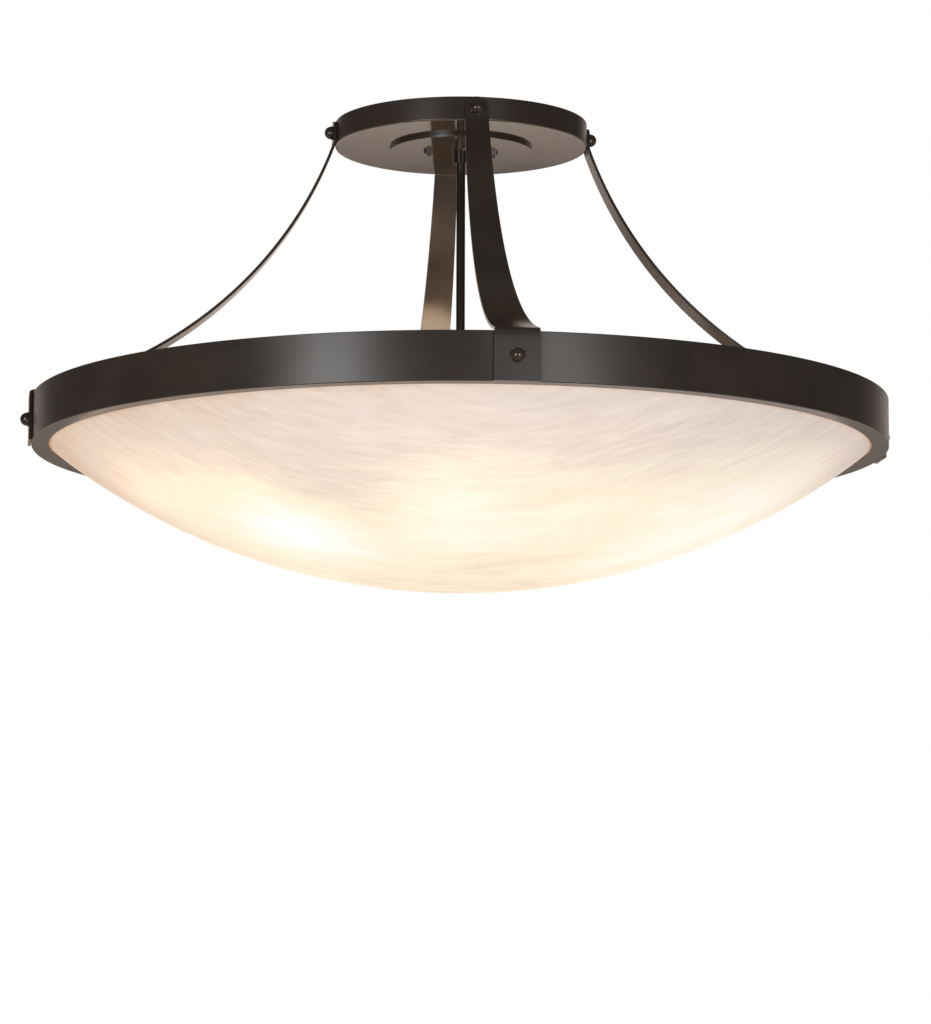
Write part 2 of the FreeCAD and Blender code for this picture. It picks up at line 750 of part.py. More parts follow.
def make_shells_and_contacts():
    turned("lampholder_shells", lamp_level, tube_corners(
        size.arm_reach + size.holder_neck_length + size.holder_back,
        holder_end - size.shell_set_back, shell_inner, shell_outer),
        axis="H_Axis", turn=cluster_turn, copies=LAMP_COUNT)
    floor = size.arm_reach + size.holder_back
    radius = size.contact_diameter / 2
    turned("lampholder_contacts", lamp_level, [
        (floor, 0), (floor, radius), (floor + size.contact_wall, radius),
        (floor + size.contact_wall, 0)], axis="H_Axis", turn=cluster_turn, copies=LAMP_COUNT)


def make_lamp(number, turn):
    """A lamp with its screw cap towards the hub and its glass ball outwards."""
    cap_end = lamp_base + size.lamp_cap_length
    tip = size.contact_diameter / 2
    cone = size.lamp_cap_length * CAP_CONE
    turned("lamp_cap_%d" % number, lamp_level, [
        (lamp_base, 0), (lamp_base, tip), (lamp_base + cone, cap_radius * CAP_CONE_WIDTH),
        (lamp_base + cone * CAP_SHOULDER, cap_radius), (cap_end, cap_radius), (cap_end, 0)],
        axis="H_Axis", turn=turn)
    radius = size.lamp_diameter / 2
    inner = radius - size.lamp_glass_wall
    centre = lamp_base + size.lamp_length - radius
    neck = cap_radius - size.lamp_glass_wall / 2
    along = centre - radius * SHOULDER
    share = math.sqrt(1 - SHOULDER * SHOULDER)
    inner_share = (inner * inner - radius * radius * SHOULDER * SHOULDER).root()
    turned("lamp_glass_%d" % number, lamp_level, [
        (cap_end, neck), (along, radius * share, "x"), (centre + radius, 0, "y"),
        (centre + inner, 0, "y"), (along, inner_share, "x"),
        (cap_end, neck - size.lamp_glass_wall)],
        arcs={1: (centre, 0, radius, "right"), 3: (centre, 0, inner, "left")},
        axis="H_Axis", turn=turn)


# Wiring

def rounded_route(points):
    """Straight runs joined by tangent arcs, each as large as its two runs allow."""
    edges = []
    start = points[0]
    for before, point, after in zip(points, points[1:], points[2:]):
        incoming = point - before
        outgoing = after - point
        bend = incoming.getAngle(outgoing)
        radius = LEAD_BEND * min(incoming.Length, outgoing.Length) / math.tan(bend / 2)
        cut = radius * math.tan(bend / 2)
        incoming.normalize()
        outgoing.normalize()
        first = point - incoming * cut
        last = point + outgoing * cut
        inward = outgoing - incoming
        inward.normalize()
        centre = point + inward * (radius / math.cos(bend / 2))
        to_middle = point - centre
        to_middle.normalize()
        edges.append(Part.LineSegment(start, first).toShape())
        edges.append(Part.Arc(first, centre + to_middle * radius, last).toShape())
        start = last
    edges.append(Part.LineSegment(start, points[-1]).toShape())
    return Part.Wire(edges)


def make_lead(label, points, diameter):
    route = rounded_route(points)
    radius = sized(diameter).number / 2
    section = Part.Wire(Part.Circle(points[0], points[1] - points[0], radius).toShape())
    lead = doc.addObject("Part::Feature", label + "_tube")
    lead.Shape = route.makePipeShell([section], True, False)
    expected = math.pi * radius ** 2 * route.Length
    if abs(lead.Shape.Volume / expected - 1) > VOLUME_SLACK:
        raise ValueError("the tube of %s has the wrong volume" % label)
    return keep(lead, label)


def make_wiring():
    """Two supply leads down the stem, the ground lead, and the three wire connectors."""
    nipple_top = (canopy_level + size.canopy_wall + size.nipple_rise).number
    lead_radius = size.lead_diameter.number / 2
    offset = lead_radius + size.lead_clearance.number
    end_z = (lamp_level - size.lead_tail).number
    top_z = nipple_top + size.lead_rise.number
    rest_z = canopy_level.number / 2
    routes = {}
    for label, hand in (("lead_hot", -1), ("lead_neutral", 1)):
        side = offset * hand
        routes[label] = [
            Vector(side, 0, end_z), Vector(side, 0, nipple_top - size.lead_straight.number),
            Vector(side * size.lead_fan.number, size.lead_bend_back.number, top_z),
            Vector(size.lead_fall_side.number * hand, size.lead_fall_back.number,
                   rest_z + size.lead_fall_rise.number),
            Vector(size.connector_side.number * hand, size.connector_back.number, rest_z)]

    head_radius = size.screw_head / 2
    bevel = size.screw_head_height * HEAD_BEVEL
    screw = turned("ground_screw", -size.plate_wall - size.screw_head_height, [
        (0, 0), (head_radius - bevel, 0), (head_radius, bevel),
        (head_radius, size.screw_head_height), (screw_radius, size.screw_head_height),
        (screw_radius, size.screw_head_height + size.plate_wall),
        (0, size.screw_head_height + size.plate_wall)])
    bind(screw, "Placement.Base.y", ground_screw_radius)
    screw.Placement.Base.y = ground_screw_radius.number
    head_z = -(size.plate_wall + size.screw_head_height).number
    routes["ground_lead"] = [
        Vector(head_radius.number, ground_screw_radius.number, head_z - lead_radius),
        Vector(-size.screw_head.number, (ground_screw_radius + size.ground_lead_back).number,
               head_z - lead_radius),
        Vector(size.ground_connector_side.number, size.ground_connector_back.number, rest_z)]

    cones = []
    for label, points in routes.items():
        make_lead(label, points, lead_radius * 2)
        cone = doc.addObject("Part::Cone", label + "_connector")
        bind(cone, "Radius1", size.connector_mouth / 2)
        bind(cone, "Radius2", size.connector_tip / 2)
        bind(cone, "Height", size.connector_length)
        cone.Placement = Placement(points[-1], Rotation(Vector(0, 0, 1), points[-1] - points[-2]))
        cones.append(cone)
    group = doc.addObject("Part::Compound", "connector_group")
    group.Links = cones
    keep(group, "wire_connectors")


def make_socket_leads():
    """Two thin leads through each arm, from inside the hub to the back of the lampholder."""
    body = new_body("socket_leads", lamp_level, cluster_turn)
    sketch = sketch_on(body, "YZ_Plane", hub_radius / 2)
    spread = stem_bore - size.socket_lead_diameter / 2 - size.lead_clearance
    for hand in (1, -1):
        circle_at(sketch, spread * hand, 0, size.socket_lead_diameter)
    length = size.arm_reach + size.holder_back - hub_radius / 2
    repeat_round(body, [pad(body, sketch, length)], LAMP_COUNT)


# Assembly

make_mounting_plate()
make_canopy()
make_cover_disc()
make_canopy_hardware()
make_stem()
for strap_name, strap_turn in STRAP_NAMES.items():
    make_strap(strap_name, strap_turn)
make_fastenings("canopy", canopy_screw_level, canopy_radius - size.canopy_wall, canopy_radius)
make_fastenings("ring", ring_screw_level, ring_radius - size.ring_wall, ring_radius)
make_ring()
make_bowl()
make_hub()
make_hub_cover()
for lamp in range(LAMP_COUNT):
    lamp_turn = cluster_turn + lamp * 360 / LAMP_COUNT
    make_arm(lamp + 1, lamp_turn)
    make_lampholder(lamp + 1, lamp_turn)
    make_lamp(lamp + 1, lamp_turn)
make_shells_and_contacts()
make_socket_leads()
make_wiring()
doc.recompute()

for item in doc.Objects:
    if "Invalid" in item.State or "Error" in item.State:
        raise ValueError("%s failed: %s" % (item.Label, item.State))
for item in parts:
    if item.Shape.isNull() or not item.Shape.isValid():
        raise ValueError("%s has no valid shape" % item.Label)

os.makedirs("parts", exist_ok=True)
for item in parts:
    item.Shape.exportStep("parts/%s.step" % item.Label)
print("%d sub-parts, %d solids" % (len(parts), sum(len(item.Shape.Solids) for item in parts)))
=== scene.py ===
import math
import bmesh
import bpy
from mathutils import Matrix, Vector


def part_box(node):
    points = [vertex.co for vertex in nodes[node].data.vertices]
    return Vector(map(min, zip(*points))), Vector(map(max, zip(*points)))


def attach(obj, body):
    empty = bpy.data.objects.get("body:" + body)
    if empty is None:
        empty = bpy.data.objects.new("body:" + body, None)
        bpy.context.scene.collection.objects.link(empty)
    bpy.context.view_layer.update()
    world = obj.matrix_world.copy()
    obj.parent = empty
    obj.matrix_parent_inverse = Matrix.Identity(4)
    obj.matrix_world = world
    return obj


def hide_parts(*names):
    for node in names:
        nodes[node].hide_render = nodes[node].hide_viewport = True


# A semi flush ceiling light: stone-look glass bowl in a rolled ring, four tapering straps,
# a flat canopy, and a six-lamp cluster on a stem. Metres, ceiling plane at z = 0.

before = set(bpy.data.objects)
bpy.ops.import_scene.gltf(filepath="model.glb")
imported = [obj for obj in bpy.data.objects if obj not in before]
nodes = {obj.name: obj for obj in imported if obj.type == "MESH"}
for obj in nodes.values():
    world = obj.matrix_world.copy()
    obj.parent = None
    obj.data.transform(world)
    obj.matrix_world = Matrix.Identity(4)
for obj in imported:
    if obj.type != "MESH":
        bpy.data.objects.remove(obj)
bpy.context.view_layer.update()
print("frame loaded,", len(nodes), "nodes")

tau = math.tau
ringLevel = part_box("ring_frame")[0].z
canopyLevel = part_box("canopy")[0].z
lampLevel = (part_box("arm_1")[0].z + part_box("arm_1")[1].z) / 2
strapTurns = {"right": 0, "back": 90, "left": 180, "front": 270}
lampCount = 6
clusterTurn = -97                 # degrees from +X to the first lamp


# camera, at the photograph's place

cameraView = {
    "place": (-0.5500, -4.5386, -1.0520),
    "heading": -6.984,            # degrees about Z, from looking along +Y
    "tilt": 0.1369,               # radians above the level
    "roll": 0.0026,
    "lens": 151.83,
    "clipEnd": 60,
}

cameraData = bpy.data.cameras.new("camera")
cameraData.lens = cameraView["lens"]
cameraData.clip_end = cameraView["clipEnd"]
camera = bpy.data.objects.new("camera", cameraData)
bpy.context.scene.collection.objects.link(camera)
turnOfCamera = (Matrix.Rotation(math.radians(cameraView["heading"]), 4, "Z")
                @ Matrix.Rotation(math.pi / 2 + cameraView["tilt"], 4, "X")
                @ Matrix.Rotation(cameraView["roll"], 4, "Z"))
camera.matrix_world = Matrix.Translation(cameraView["place"]) @ turnOfCamera
bpy.context.scene.camera = camera
bpy.context.scene.view_settings.view_transform = "Standard"
print("camera set")


# small helpers for materials

noiseSpan = (0.3, 0.7)            # noise seldom leaves these levels


def feed(material, socket, value):
    if isinstance(value, bpy.types.NodeSocket):
        material.node_tree.links.new(value, socket)
    else:
        socket.default_value = value


def addNode(material, kind, sockets=None, **settings):
    node = material.node_tree.nodes.new("ShaderNode" + kind)
    for key, value in settings.items():
        setattr(node, key, value)
    for key, value in (sockets or {}).items():
        feed(material, node.inputs[key], value)
    return node


def newMaterial(name):
    material = bpy.data.materials.new(name)
    material.use_nodes = True
    return material, material.node_tree.nodes["Principled BSDF"]


def objectPlace(material):
    return addNode(material, "TexCoord").outputs["Object"]


def moved(material, vector, scale=(1, 1, 1), turn=0):
    return addNode(material, "Mapping", {
        "Vector": vector, "Scale": scale, "Rotation": (0, 0, turn)}).outputs[0]


def noise(material, vector, scale, detail, rough=0.5, twist=0.0):
    return addNode(material, "TexNoise", {
        "Vector": vector, "Scale": scale, "Detail": detail, "Roughness": rough,
        "Distortion": twist}).outputs["Fac"]


def calc(material, operation, first, second=0.0):
    return addNode(material, "Math", {0: first, 1: second}, operation=operation).outputs[0]


def vectorCalc(material, operation, *vectors, output="Vector"):
    return addNode(material, "VectorMath", dict(enumerate(vectors)),
                   operation=operation).outputs[output]


def weighed(material, first, firstShare, second, secondShare):
    return calc(material, "ADD", calc(material, "MULTIPLY", first, firstShare),
                calc(material, "MULTIPLY", second, secondShare))


def remap(material, value, low, high, toLow, toHigh):
    return addNode(material, "MapRange", {
        "Value": value, "From Min": low, "From Max": high, "To Min": toLow, "To Max": toHigh,
    }).outputs[0]


def blendColours(material, amount, first, second, mode="MIX"):
    # a Mix node's colours are its sockets 6 and 7, and its third output
    node = addNode(material, "Mix", {0: amount, 6: first, 7: second},
                   data_type="RGBA", blend_type=mode)
    return node.outputs[2]


def ramp(material, value, stops):
    node = addNode(material, "ValToRGB", {"Fac": value})
    band = node.color_ramp
    while len(band.elements) > 1:
        band.elements.remove(band.elements[-1])
    band.elements[0].position, band.elements[0].color = stops[0]
    for position, colour in stops[1:]:
        band.elements.new(position).color = colour
    return node.outputs["Color"]


def addBump(material, shader, height, depth):
    bump = addNode(material, "Bump", {"Height": height, "Distance": depth})
    feed(material, shader.inputs["Normal"], bump.outputs[0])


# metal: dark bronze paint rubbed level round the fixture, with slight shifts of brown

bronze = {
    "dark": (0.0160, 0.0118, 0.0094),
    "warm": (0.0240, 0.0176, 0.0136),
    "tones": (0.38, 0.62),        # where the clouds turn dark and warm
    # noises are (scale, detail, roughness)
    "cloud": (14.0, 4.0, 0.6),
    "cloudShare": 0.85,
    "fleck": (900.0, 2.0, 0.7),
    "fleckShare": 0.15,
    "rubbedStretch": (9.0, 9.0, 420.0),
    "rubbed": (1.0, 3.0, 0.6),    # the lines left by rubbing
    "rubbedShare": 0.6,
    "rubbedDepth": 0.000002,
    "patch": (12.0, 2.0),
    "patchShare": 0.4,
    "worn": (0.30, 0.70),
    "peel": (160.0, 1.0),
    "peelDepth": 0.000002,
    # (least roughness, most roughness, index of refraction, share of the depths, of the colour)
    "satin": (0.27, 0.32, 1.40, 1.0, 1.0),
    "gloss": (0.07, 0.11, 1.45, 0.25, 1.0),
    "lip": (0.14, 0.18, 1.22, 0.25, 1.0),
    "bar": (0.17, 0.22, 1.40, 0.5, 1.0),
    "polished": (0.12, 0.17, 1.45, 0.3, 1.0),
    "stem": (0.16, 0.20, 1.28, 0.3, 0.45),
}


def bronzeMaterial(finish):
    material, shader = newMaterial(finish + "_bronze")
    smooth, rough, ior, relief, strength = bronze[finish]
    place = objectPlace(material)
    shade = weighed(material, noise(material, place, *bronze["cloud"]), bronze["cloudShare"],
                    noise(material, place, *bronze["fleck"]), bronze["fleckShare"])
    stops = [(level, (*(channel * strength for channel in bronze[tone]), 1))
             for level, tone in zip(bronze["tones"], ("dark", "warm"))]
    feed(material, shader.inputs["Base Color"], ramp(material, shade, stops))
    rubbed = noise(material, moved(material, place, bronze["rubbedStretch"]),
                   *bronze["rubbed"])
    worn = weighed(material, rubbed, bronze["rubbedShare"],
                   noise(material, place, *bronze["patch"]), bronze["patchShare"])
    feed(material, shader.inputs["Roughness"],
         remap(material, worn, *bronze["worn"], smooth, rough))
    shader.inputs["IOR"].default_value = ior
    # the height is in metres already
    height = weighed(material, rubbed, bronze["rubbedDepth"] * relief,
                     noise(material, place, *bronze["peel"]), bronze["peelDepth"] * relief)
    addBump(material, shader, height, 1.0)
    return material


satinBronze, glossBronze, lipBronze, barBronze, polishedBronze, stemBronze = [
    bronzeMaterial(finish) for finish in ("satin", "gloss", "lip", "bar", "polished", "stem")]

# plated metal and plastic: clouds of two tones, smears of roughness and a fine grain

plated = {"tones": (0.35, 0.65), "cloud": (60.0, 4.0, 0.6), "smear": (240.0, 3.0),
          "smearSpread": (0.8, 1.2), "grain": (1800.0, 2.0), "grainDepth": 0.00001}
plastic = {"tones": (0.3, 0.7), "cloud": (120.0, 4.0, 0.6), "smear": (300.0, 3.0),
           "smearSpread": (0.85, 1.15), "grain": (1200.0, 2.0), "grainDepth": 0.00003,
           "darker": 0.78}


def grainedMaterial(name, surface, light, dark, rough, metallic):
    material, shader = newMaterial(name)
    place = objectPlace(material)
    stops = [(level, (*colour, 1)) for level, colour in zip(surface["tones"], (dark, light))]
    feed(material, shader.inputs["Base Color"],
         ramp(material, noise(material, place, *surface["cloud"]), stops))
    feed(material, shader.inputs["Roughness"],
         remap(material, noise(material, place, *surface["smear"]), *noiseSpan,
               *(rough * share for share in surface["smearSpread"])))
    shader.inputs["Metallic"].default_value = metallic
    addBump(material, shader, noise(material, place, *surface["grain"]),
            surface["grainDepth"])
    return material


def platedMaterial(name, light, dark, rough, metallic=1.0):
    return grainedMaterial(name, plated, light, dark, rough, metallic)


def plasticMaterial(name, colour, rough=0.42):
    darker = [plastic["darker"] * channel for channel in colour]
    return grainedMaterial(name, plastic, colour, darker, rough, 0.0)


zincSteel = platedMaterial("zinc_steel", (0.60, 0.59, 0.56), (0.46, 0.45, 0.43), 0.32)
brassMetal = platedMaterial("brass", (0.72, 0.52, 0.24), (0.58, 0.40, 0.17), 0.28)
aluminium = platedMaterial("cap_aluminium", (0.80, 0.80, 0.79), (0.66, 0.66, 0.65), 0.26)
greenPaint = platedMaterial("ground_green", (0.03, 0.22, 0.07), (0.02, 0.16, 0.05), 0.4, 0.0)
blackGlass = platedMaterial("cap_insulator", (0.02, 0.02, 0.02), (0.01, 0.01, 0.01), 0.15, 0.0)

glaze = {
    "tones": [(0.3, (0.70, 0.68, 0.63, 1)), (0.7, (0.82, 0.81, 0.77, 1))],
    "cloud": (45.0, 5.0, 0.6),
    "speck": (620.0, 1.0),
    "speckSpan": (0.70, 0.78),
    "speckShare": 0.5,
    "speckColour": (0.35, 0.30, 0.24, 1),
    "smear": (90.0, 3.0),
    "roughness": (0.12, 0.24),
    "coat": 0.4,
    "wave": (160.0, 3.0),
    "waveDepth": 0.00006,
}


def glazedMaterial():
    material, shader = newMaterial("porcelain")
    place = objectPlace(material)
    colour = ramp(material, noise(material, place, *glaze["cloud"]), glaze["tones"])
    speck = remap(material, noise(material, place, *glaze["speck"]), *glaze["speckSpan"],
                  0.0, glaze["speckShare"])
    feed(material, shader.inputs["Base Color"],
         blendColours(material, speck, colour, glaze["speckColour"]))
    feed(material, shader.inputs["Roughness"],
         remap(material, noise(material, place, *glaze["smear"]), *noiseSpan,
               *glaze["roughness"]))
    shader.inputs["Coat Weight"].default_value = glaze["coat"]
    addBump(material, shader, noise(material, place, *glaze["wave"]), glaze["waveDepth"])
    return material


porcelain = glazedMaterial()

leadBlack = plasticMaterial("lead_black", (0.018, 0.018, 0.019))
leadWhite = plasticMaterial("lead_white", (0.78, 0.77, 0.73))
leadGreen = plasticMaterial("lead_green", (0.03, 0.20, 0.06))
orangePlastic = plasticMaterial("connector_orange", (0.75, 0.22, 0.03), 0.38)


# glass: frosted lamps that glow, and the bowl with its drawn streaks and the lamps' light
# painted on as its glow

lampGlow = {
    "glassColour": (0.90, 0.86, 0.78, 1),
    "hotColour": (1.0, 0.75, 0.53, 1),
    "coolColour": (1.0, 0.64, 0.39, 1),
    "reach": (0.140, 0.185),      # metres from the stem, from the neck to the middle of the ball
    "strength": 14.5,
    "frost": (500.0, 4.0, 0.6),
    "frostDepth": 0.00002,
    "roughness": (0.35, 0.5),
}


def flattened(material, vector):
    return vectorCalc(material, "MULTIPLY", vector, (1, 1, 0))


def lampMaterial():
    material, shader = newMaterial("frosted_glass")
    place = objectPlace(material)
    frost = noise(material, place, *lampGlow["frost"])
    shader.inputs["Base Color"].default_value = lampGlow["glassColour"]
    feed(material, shader.inputs["Roughness"],
         remap(material, frost, *noiseSpan, *lampGlow["roughness"]))
    # a deeper orange at the neck than round the filament
    fromStem = vectorCalc(material, "LENGTH", flattened(material, place), output="Value")
    glow = remap(material, fromStem, *lampGlow["reach"], 0.0, 1.0)
    feed(material, shader.inputs["Emission Color"],
         blendColours(material, glow, lampGlow["coolColour"], lampGlow["hotColour"]))
    shader.inputs["Emission Strength"].default_value = lampGlow["strength"]
    addBump(material, shader, frost, lampGlow["frostDepth"])
    return material


frostedGlass = lampMaterial()

bowlLook = {
    "turn": math.radians(7),      # the streaks run along the photograph's left to right
    "albedo": ((0.40, 0.38, 0.36, 1), (0.47, 0.45, 0.43, 1)),
    # (metres from the stem, glow)
    "rings": [(0.0, 0.345), (0.07, 0.290), (0.14, 0.305), (0.20, 0.239), (0.26, 0.148),
              (0.30, 0.135), (0.335, 0.150), (0.385, 0.111), (0.425, 0.058), (0.44, 0.05)],
    "slope": (0.238, -0.285),     # the painted glow is brighter to the right and to the front
    "crease": 0.03,               # the back half mirrors the front half across this width
    # (x, y, spread, added glow): painted hot spots of the lamps' light seen through the glass
    "lampLightSpots": [(-0.171, -0.167, 0.046, 0.362), (-0.003, -0.249, 0.057, 0.234),
                 (0.262, -0.086, 0.079, 0.320), (-0.281, -0.105, 0.120, 0.253),
                 (0.126, -0.228, 0.043, 0.150), (0.212, -0.186, 0.030, 0.087)],
    # (glow, colour)
    "colours": [(0.12, (0.288, 0.179, 0.113)), (0.16, (0.330, 0.231, 0.165)),
                (0.20, (0.363, 0.269, 0.208)), (0.24, (0.417, 0.310, 0.236)),
                (0.28, (0.512, 0.391, 0.281)), (0.32, (0.594, 0.481, 0.326)),
                (0.36, (0.640, 0.523, 0.355)), (0.40, (0.665, 0.564, 0.394)),
                (0.48, (0.690, 0.616, 0.481)), (0.60, (0.720, 0.680, 0.617)),
                (0.68, (0.720, 0.700, 0.680))],
    # towards the rim the painted glow turns warmer at the left, greyer at the right
    "leftGlowTint": (1.24, 1.15, 1.00, 1),
    "rightGlowTint": (0.86, 0.90, 1.03, 1),
    "tintAcross": (-0.38, 0.34),
    "tintCloud": (-0.12, 0.12),
    "tintReach": (0.28, 0.37),
    "rimGlowColour": (0.46, 0.22, 0.09, 1),
    "rimReach": (0.4325, 0.4385),
    "rimShare": 0.7,
    "veinColour": (0.34, 0.22, 0.13, 1),
    "veinStretch": (16.0, 52.0, 16.0),
    "vein": (1.0, 5.0, 0.7, 0.8),
    "veinSpan": (0.64, 0.78),
    "veinShare": 0.28,
    "sway": (7.0, 2.0),
    "swaySpan": (0.2, 0.8),
    "swayWidth": 0.012,
    # layers of streaks: (stretch, strength, detail, twist)
    "cloud": ((6.0, 15.0, 8.0), 0.024, 5.0, 0.6),
    "broadStreak": ((8.0, 42.0, 12.0), 0.019, 5.0, 0.3),
    "fineStreak": ((22.0, 150.0, 34.0), 0.021, 4.0, 0.0),
    "layerRoughness": 0.62,
    "layerSpan": (0.25, 0.75),
    "brightStreak": 2.4,          # streaks grow this many times towards the hot spots
    "brightGlow": (0.28, 0.52),
    "lowStreak": 3.2,             # and this many times towards the bottom
    "lowReach": (0.24, 0.16),
    "roughness": (0.26, 0.36),
    "streakDepth": 0.00004,
}


def bowlMaterial():
    material, shader = newMaterial("bowl_stone")
    place = moved(material, objectPlace(material), turn=bowlLook["turn"])
    flat = flattened(material, place)
    reach = vectorCalc(material, "LENGTH", flat, output="Value")
    parts = addNode(material, "SeparateXYZ", {0: flat}).outputs
    across, along = parts["X"], parts["Y"]
    # the back half mirrors the front half
    squared = calc(material, "ADD", calc(material, "MULTIPLY", along, along),
                   bowlLook["crease"] ** 2)
    front = calc(material, "MULTIPLY", calc(material, "SQRT", squared), -1.0)
    folded = addNode(material, "CombineXYZ", {"X": across, "Y": front}).outputs[0]

    # soft light of the lamps behind the glass
    span = bowlLook["rings"][-1][0]
    glow = ramp(material, calc(material, "DIVIDE", reach, span),
                [(far / span, (level, level, level, 1)) for far, level in bowlLook["rings"]])
    for value, share in zip((across, front), bowlLook["slope"]):
        glow = calc(material, "ADD", calc(material, "MULTIPLY", value, share), glow)
    for x, y, spread, amount in bowlLook["lampLightSpots"]:
        away = vectorCalc(material, "DISTANCE", folded, (x, y, 0), output="Value")
        share = calc(material, "DIVIDE", away, spread)
        bell = calc(material, "EXPONENT",
                    calc(material, "MULTIPLY", calc(material, "POWER", share, 2.0), -0.5))
        glow = calc(material, "ADD", calc(material, "MULTIPLY", bell, amount), glow)

    # clouds and streaks drawn out along one direction, and slightly wavy
    sway = remap(material, noise(material, place, *bowlLook["sway"]), *bowlLook["swaySpan"],
                 -bowlLook["swayWidth"], bowlLook["swayWidth"])
    swayed = vectorCalc(material, "ADD", place,
                        addNode(material, "CombineXYZ", {"Y": sway}).outputs[0])
    layers = {}
    streak = 0.0
    for layer in ("cloud", "broadStreak", "fineStreak"):
        stretch, strength, detail, twist = bowlLook[layer]
        layers[layer] = noise(material, moved(material, swayed, stretch), 1.0, detail,
                              bowlLook["layerRoughness"], twist)
        streak = calc(material, "ADD", streak,
                      remap(material, layers[layer], *bowlLook["layerSpan"],
                            -strength, strength))
    grown = calc(material, "MAXIMUM",
                 remap(material, glow, *bowlLook["brightGlow"], 1.0, bowlLook["brightStreak"]),
                 remap(material, reach, *bowlLook["lowReach"], 1.0, bowlLook["lowStreak"]))
    level = calc(material, "ADD", glow, calc(material, "MULTIPLY", streak, grown))
    colour = ramp(material, level, [(at, (*shade, 1)) for at, shade in bowlLook["colours"]])

    # the painted glow's tints, the painted orange glow along the rim, and a few tan veins
    side = calc(material, "ADD", across,
                remap(material, layers["cloud"], *noiseSpan, *bowlLook["tintCloud"]))
    tint = blendColours(material, remap(material, side, *bowlLook["tintAcross"], 0.0, 1.0),
                        bowlLook["leftGlowTint"], bowlLook["rightGlowTint"])
    towardsRim = remap(material, reach, *bowlLook["tintReach"], 0.0, 1.0)
    colour = blendColours(material, towardsRim, colour,
                          blendColours(material, 1.0, colour, tint, "MULTIPLY"))
    atRim = remap(material, reach, *bowlLook["rimReach"], 0.0, bowlLook["rimShare"])
    colour = blendColours(material, atRim, colour, bowlLook["rimGlowColour"])
    vein = noise(material, moved(material, swayed, bowlLook["veinStretch"]),
                 *bowlLook["vein"])
    inVein = remap(material, vein, *bowlLook["veinSpan"], 0.0, bowlLook["veinShare"])
    colour = blendColours(material, inVein, colour, bowlLook["veinColour"])
    # the bowl's colour is painted glow: the lamps' light given as emission
    feed(material, shader.inputs["Emission Color"], colour)
    shader.inputs["Emission Strength"].default_value = 1.0

    feed(material, shader.inputs["Base Color"],
         blendColours(material, remap(material, layers["fineStreak"], *noiseSpan, 0.0, 1.0),
                      *bowlLook["albedo"]))
    feed(material, shader.inputs["Roughness"],
         remap(material, layers["broadStreak"], *noiseSpan, *bowlLook["roughness"]))
    addBump(material, shader, layers["fineStreak"], bowlLook["streakDepth"])
    return material


bowlStonePaintedGlow = bowlMaterial()
print("materials made")


# small helpers for pieces

onAxis = 1e-7                     # points nearer to the axis than this lie on it
weldWidth = 2e-7
cornerSteps = 5


def deselect():
    if bpy.context.object and bpy.context.object.mode != "OBJECT":
        bpy.ops.object.mode_set(mode="OBJECT")
    bpy.ops.object.select_all(action="DESELECT")


def pick(piece):
    deselect()
    piece.select_set(True)
    bpy.context.view_layer.objects.active = piece


def applyPlace(piece):
    pick(piece)
    bpy.ops.object.transform_apply(location=True, rotation=True, scale=True)


def lift(piece, level):
    piece.location.z = level
    applyPlace(piece)


def settle(piece, name, body, replaced):
    piece.name = name
    piece.data.name = name
    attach(piece, body)
    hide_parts(*replaced)


def roundedCorners(corners, steps=cornerSteps):
    # corners (reach, height, radius) of a closed section, each rounded by its own radius
    holdShare, flatShare = 0.25, 0.2
    section = []
    for index, (x, y, radius) in enumerate(corners):
        point = Vector((x, y))
        if not radius:
            section.append((x, y))
            continue
        before = Vector(corners[index - 1][:2]) - point
        after = Vector(corners[(index + 1) % len(corners)][:2]) - point
        half = before.angle(after) / 2
        cut = radius / math.tan(half)
        start = point + before.normalized() * cut
        end = point + after.normalized() * cut
        # one more point either side keeps the flats shaded flat
        hold = min(radius * holdShare, (before.length - cut) * flatShare,
                   (after.length - cut) * flatShare)
        section.append(tuple(start + before.normalized() * hold))
        middle = (before.normalized() + after.normalized()).normalized()
        centre = point + middle * (radius / math.sin(half))
        for step in range(steps + 1):
            spoke = (start - centre).lerp(end - centre, step / steps).normalized()
            section.append(tuple(centre + spoke * radius))
        section.append(tuple(end + after.normalized() * hold))
    return section


def arcPoints(centre, radius, first, last, count):
    turns = [first + (last - first) * step / count for step in range(count + 1)]
    return [(centre[0] + radius * math.cos(turn), centre[1] + radius * math.sin(turn))
            for turn in turns]


def turnedPiece(name, section, steps, smooth=35):
    # a closed section (reach, height) spun about Z: the points of a circle become the section's
    deselect()
    bpy.ops.mesh.primitive_circle_add(vertices=len(section))
    piece = bpy.context.object
    piece.name = name
    for vertex, (reach, height) in zip(piece.data.vertices, section):
        vertex.co = (max(reach, 0), 0, height)
    bpy.ops.object.mode_set(mode="EDIT")
    bpy.ops.mesh.select_mode(type="EDGE")
    mesh = bmesh.from_edit_mesh(piece.data)
    for edge in mesh.edges:
        edge.select_set(all(vertex.co.x < onAxis for vertex in edge.verts))
    bmesh.update_edit_mesh(piece.data)
    bpy.ops.mesh.delete(type="EDGE")
    bpy.ops.mesh.select_all(action="SELECT")
    bpy.ops.mesh.spin(steps=steps, angle=tau, center=(0, 0, 0), axis=(0, 0, 1))
    bpy.ops.mesh.select_all(action="SELECT")
    bpy.ops.mesh.remove_doubles(threshold=weldWidth)
    bpy.ops.mesh.delete_loose()
    bpy.ops.mesh.select_all(action="SELECT")
    bpy.ops.mesh.normals_make_consistent(inside=False)
    bpy.ops.object.mode_set(mode="OBJECT")
    pick(piece)
    bpy.ops.object.shade_smooth_by_angle(angle=math.radians(smooth))
    return piece


def bevelEdges(piece, width, sharpest):
    # edges that turn by more than this many degrees
    rounding = piece.modifiers.new("edges", "BEVEL")
    rounding.width = width
    rounding.segments = 2
    rounding.limit_method = "ANGLE"
    rounding.angle_limit = math.radians(sharpest)
    pick(piece)
    bpy.ops.object.modifier_apply(modifier="edges")


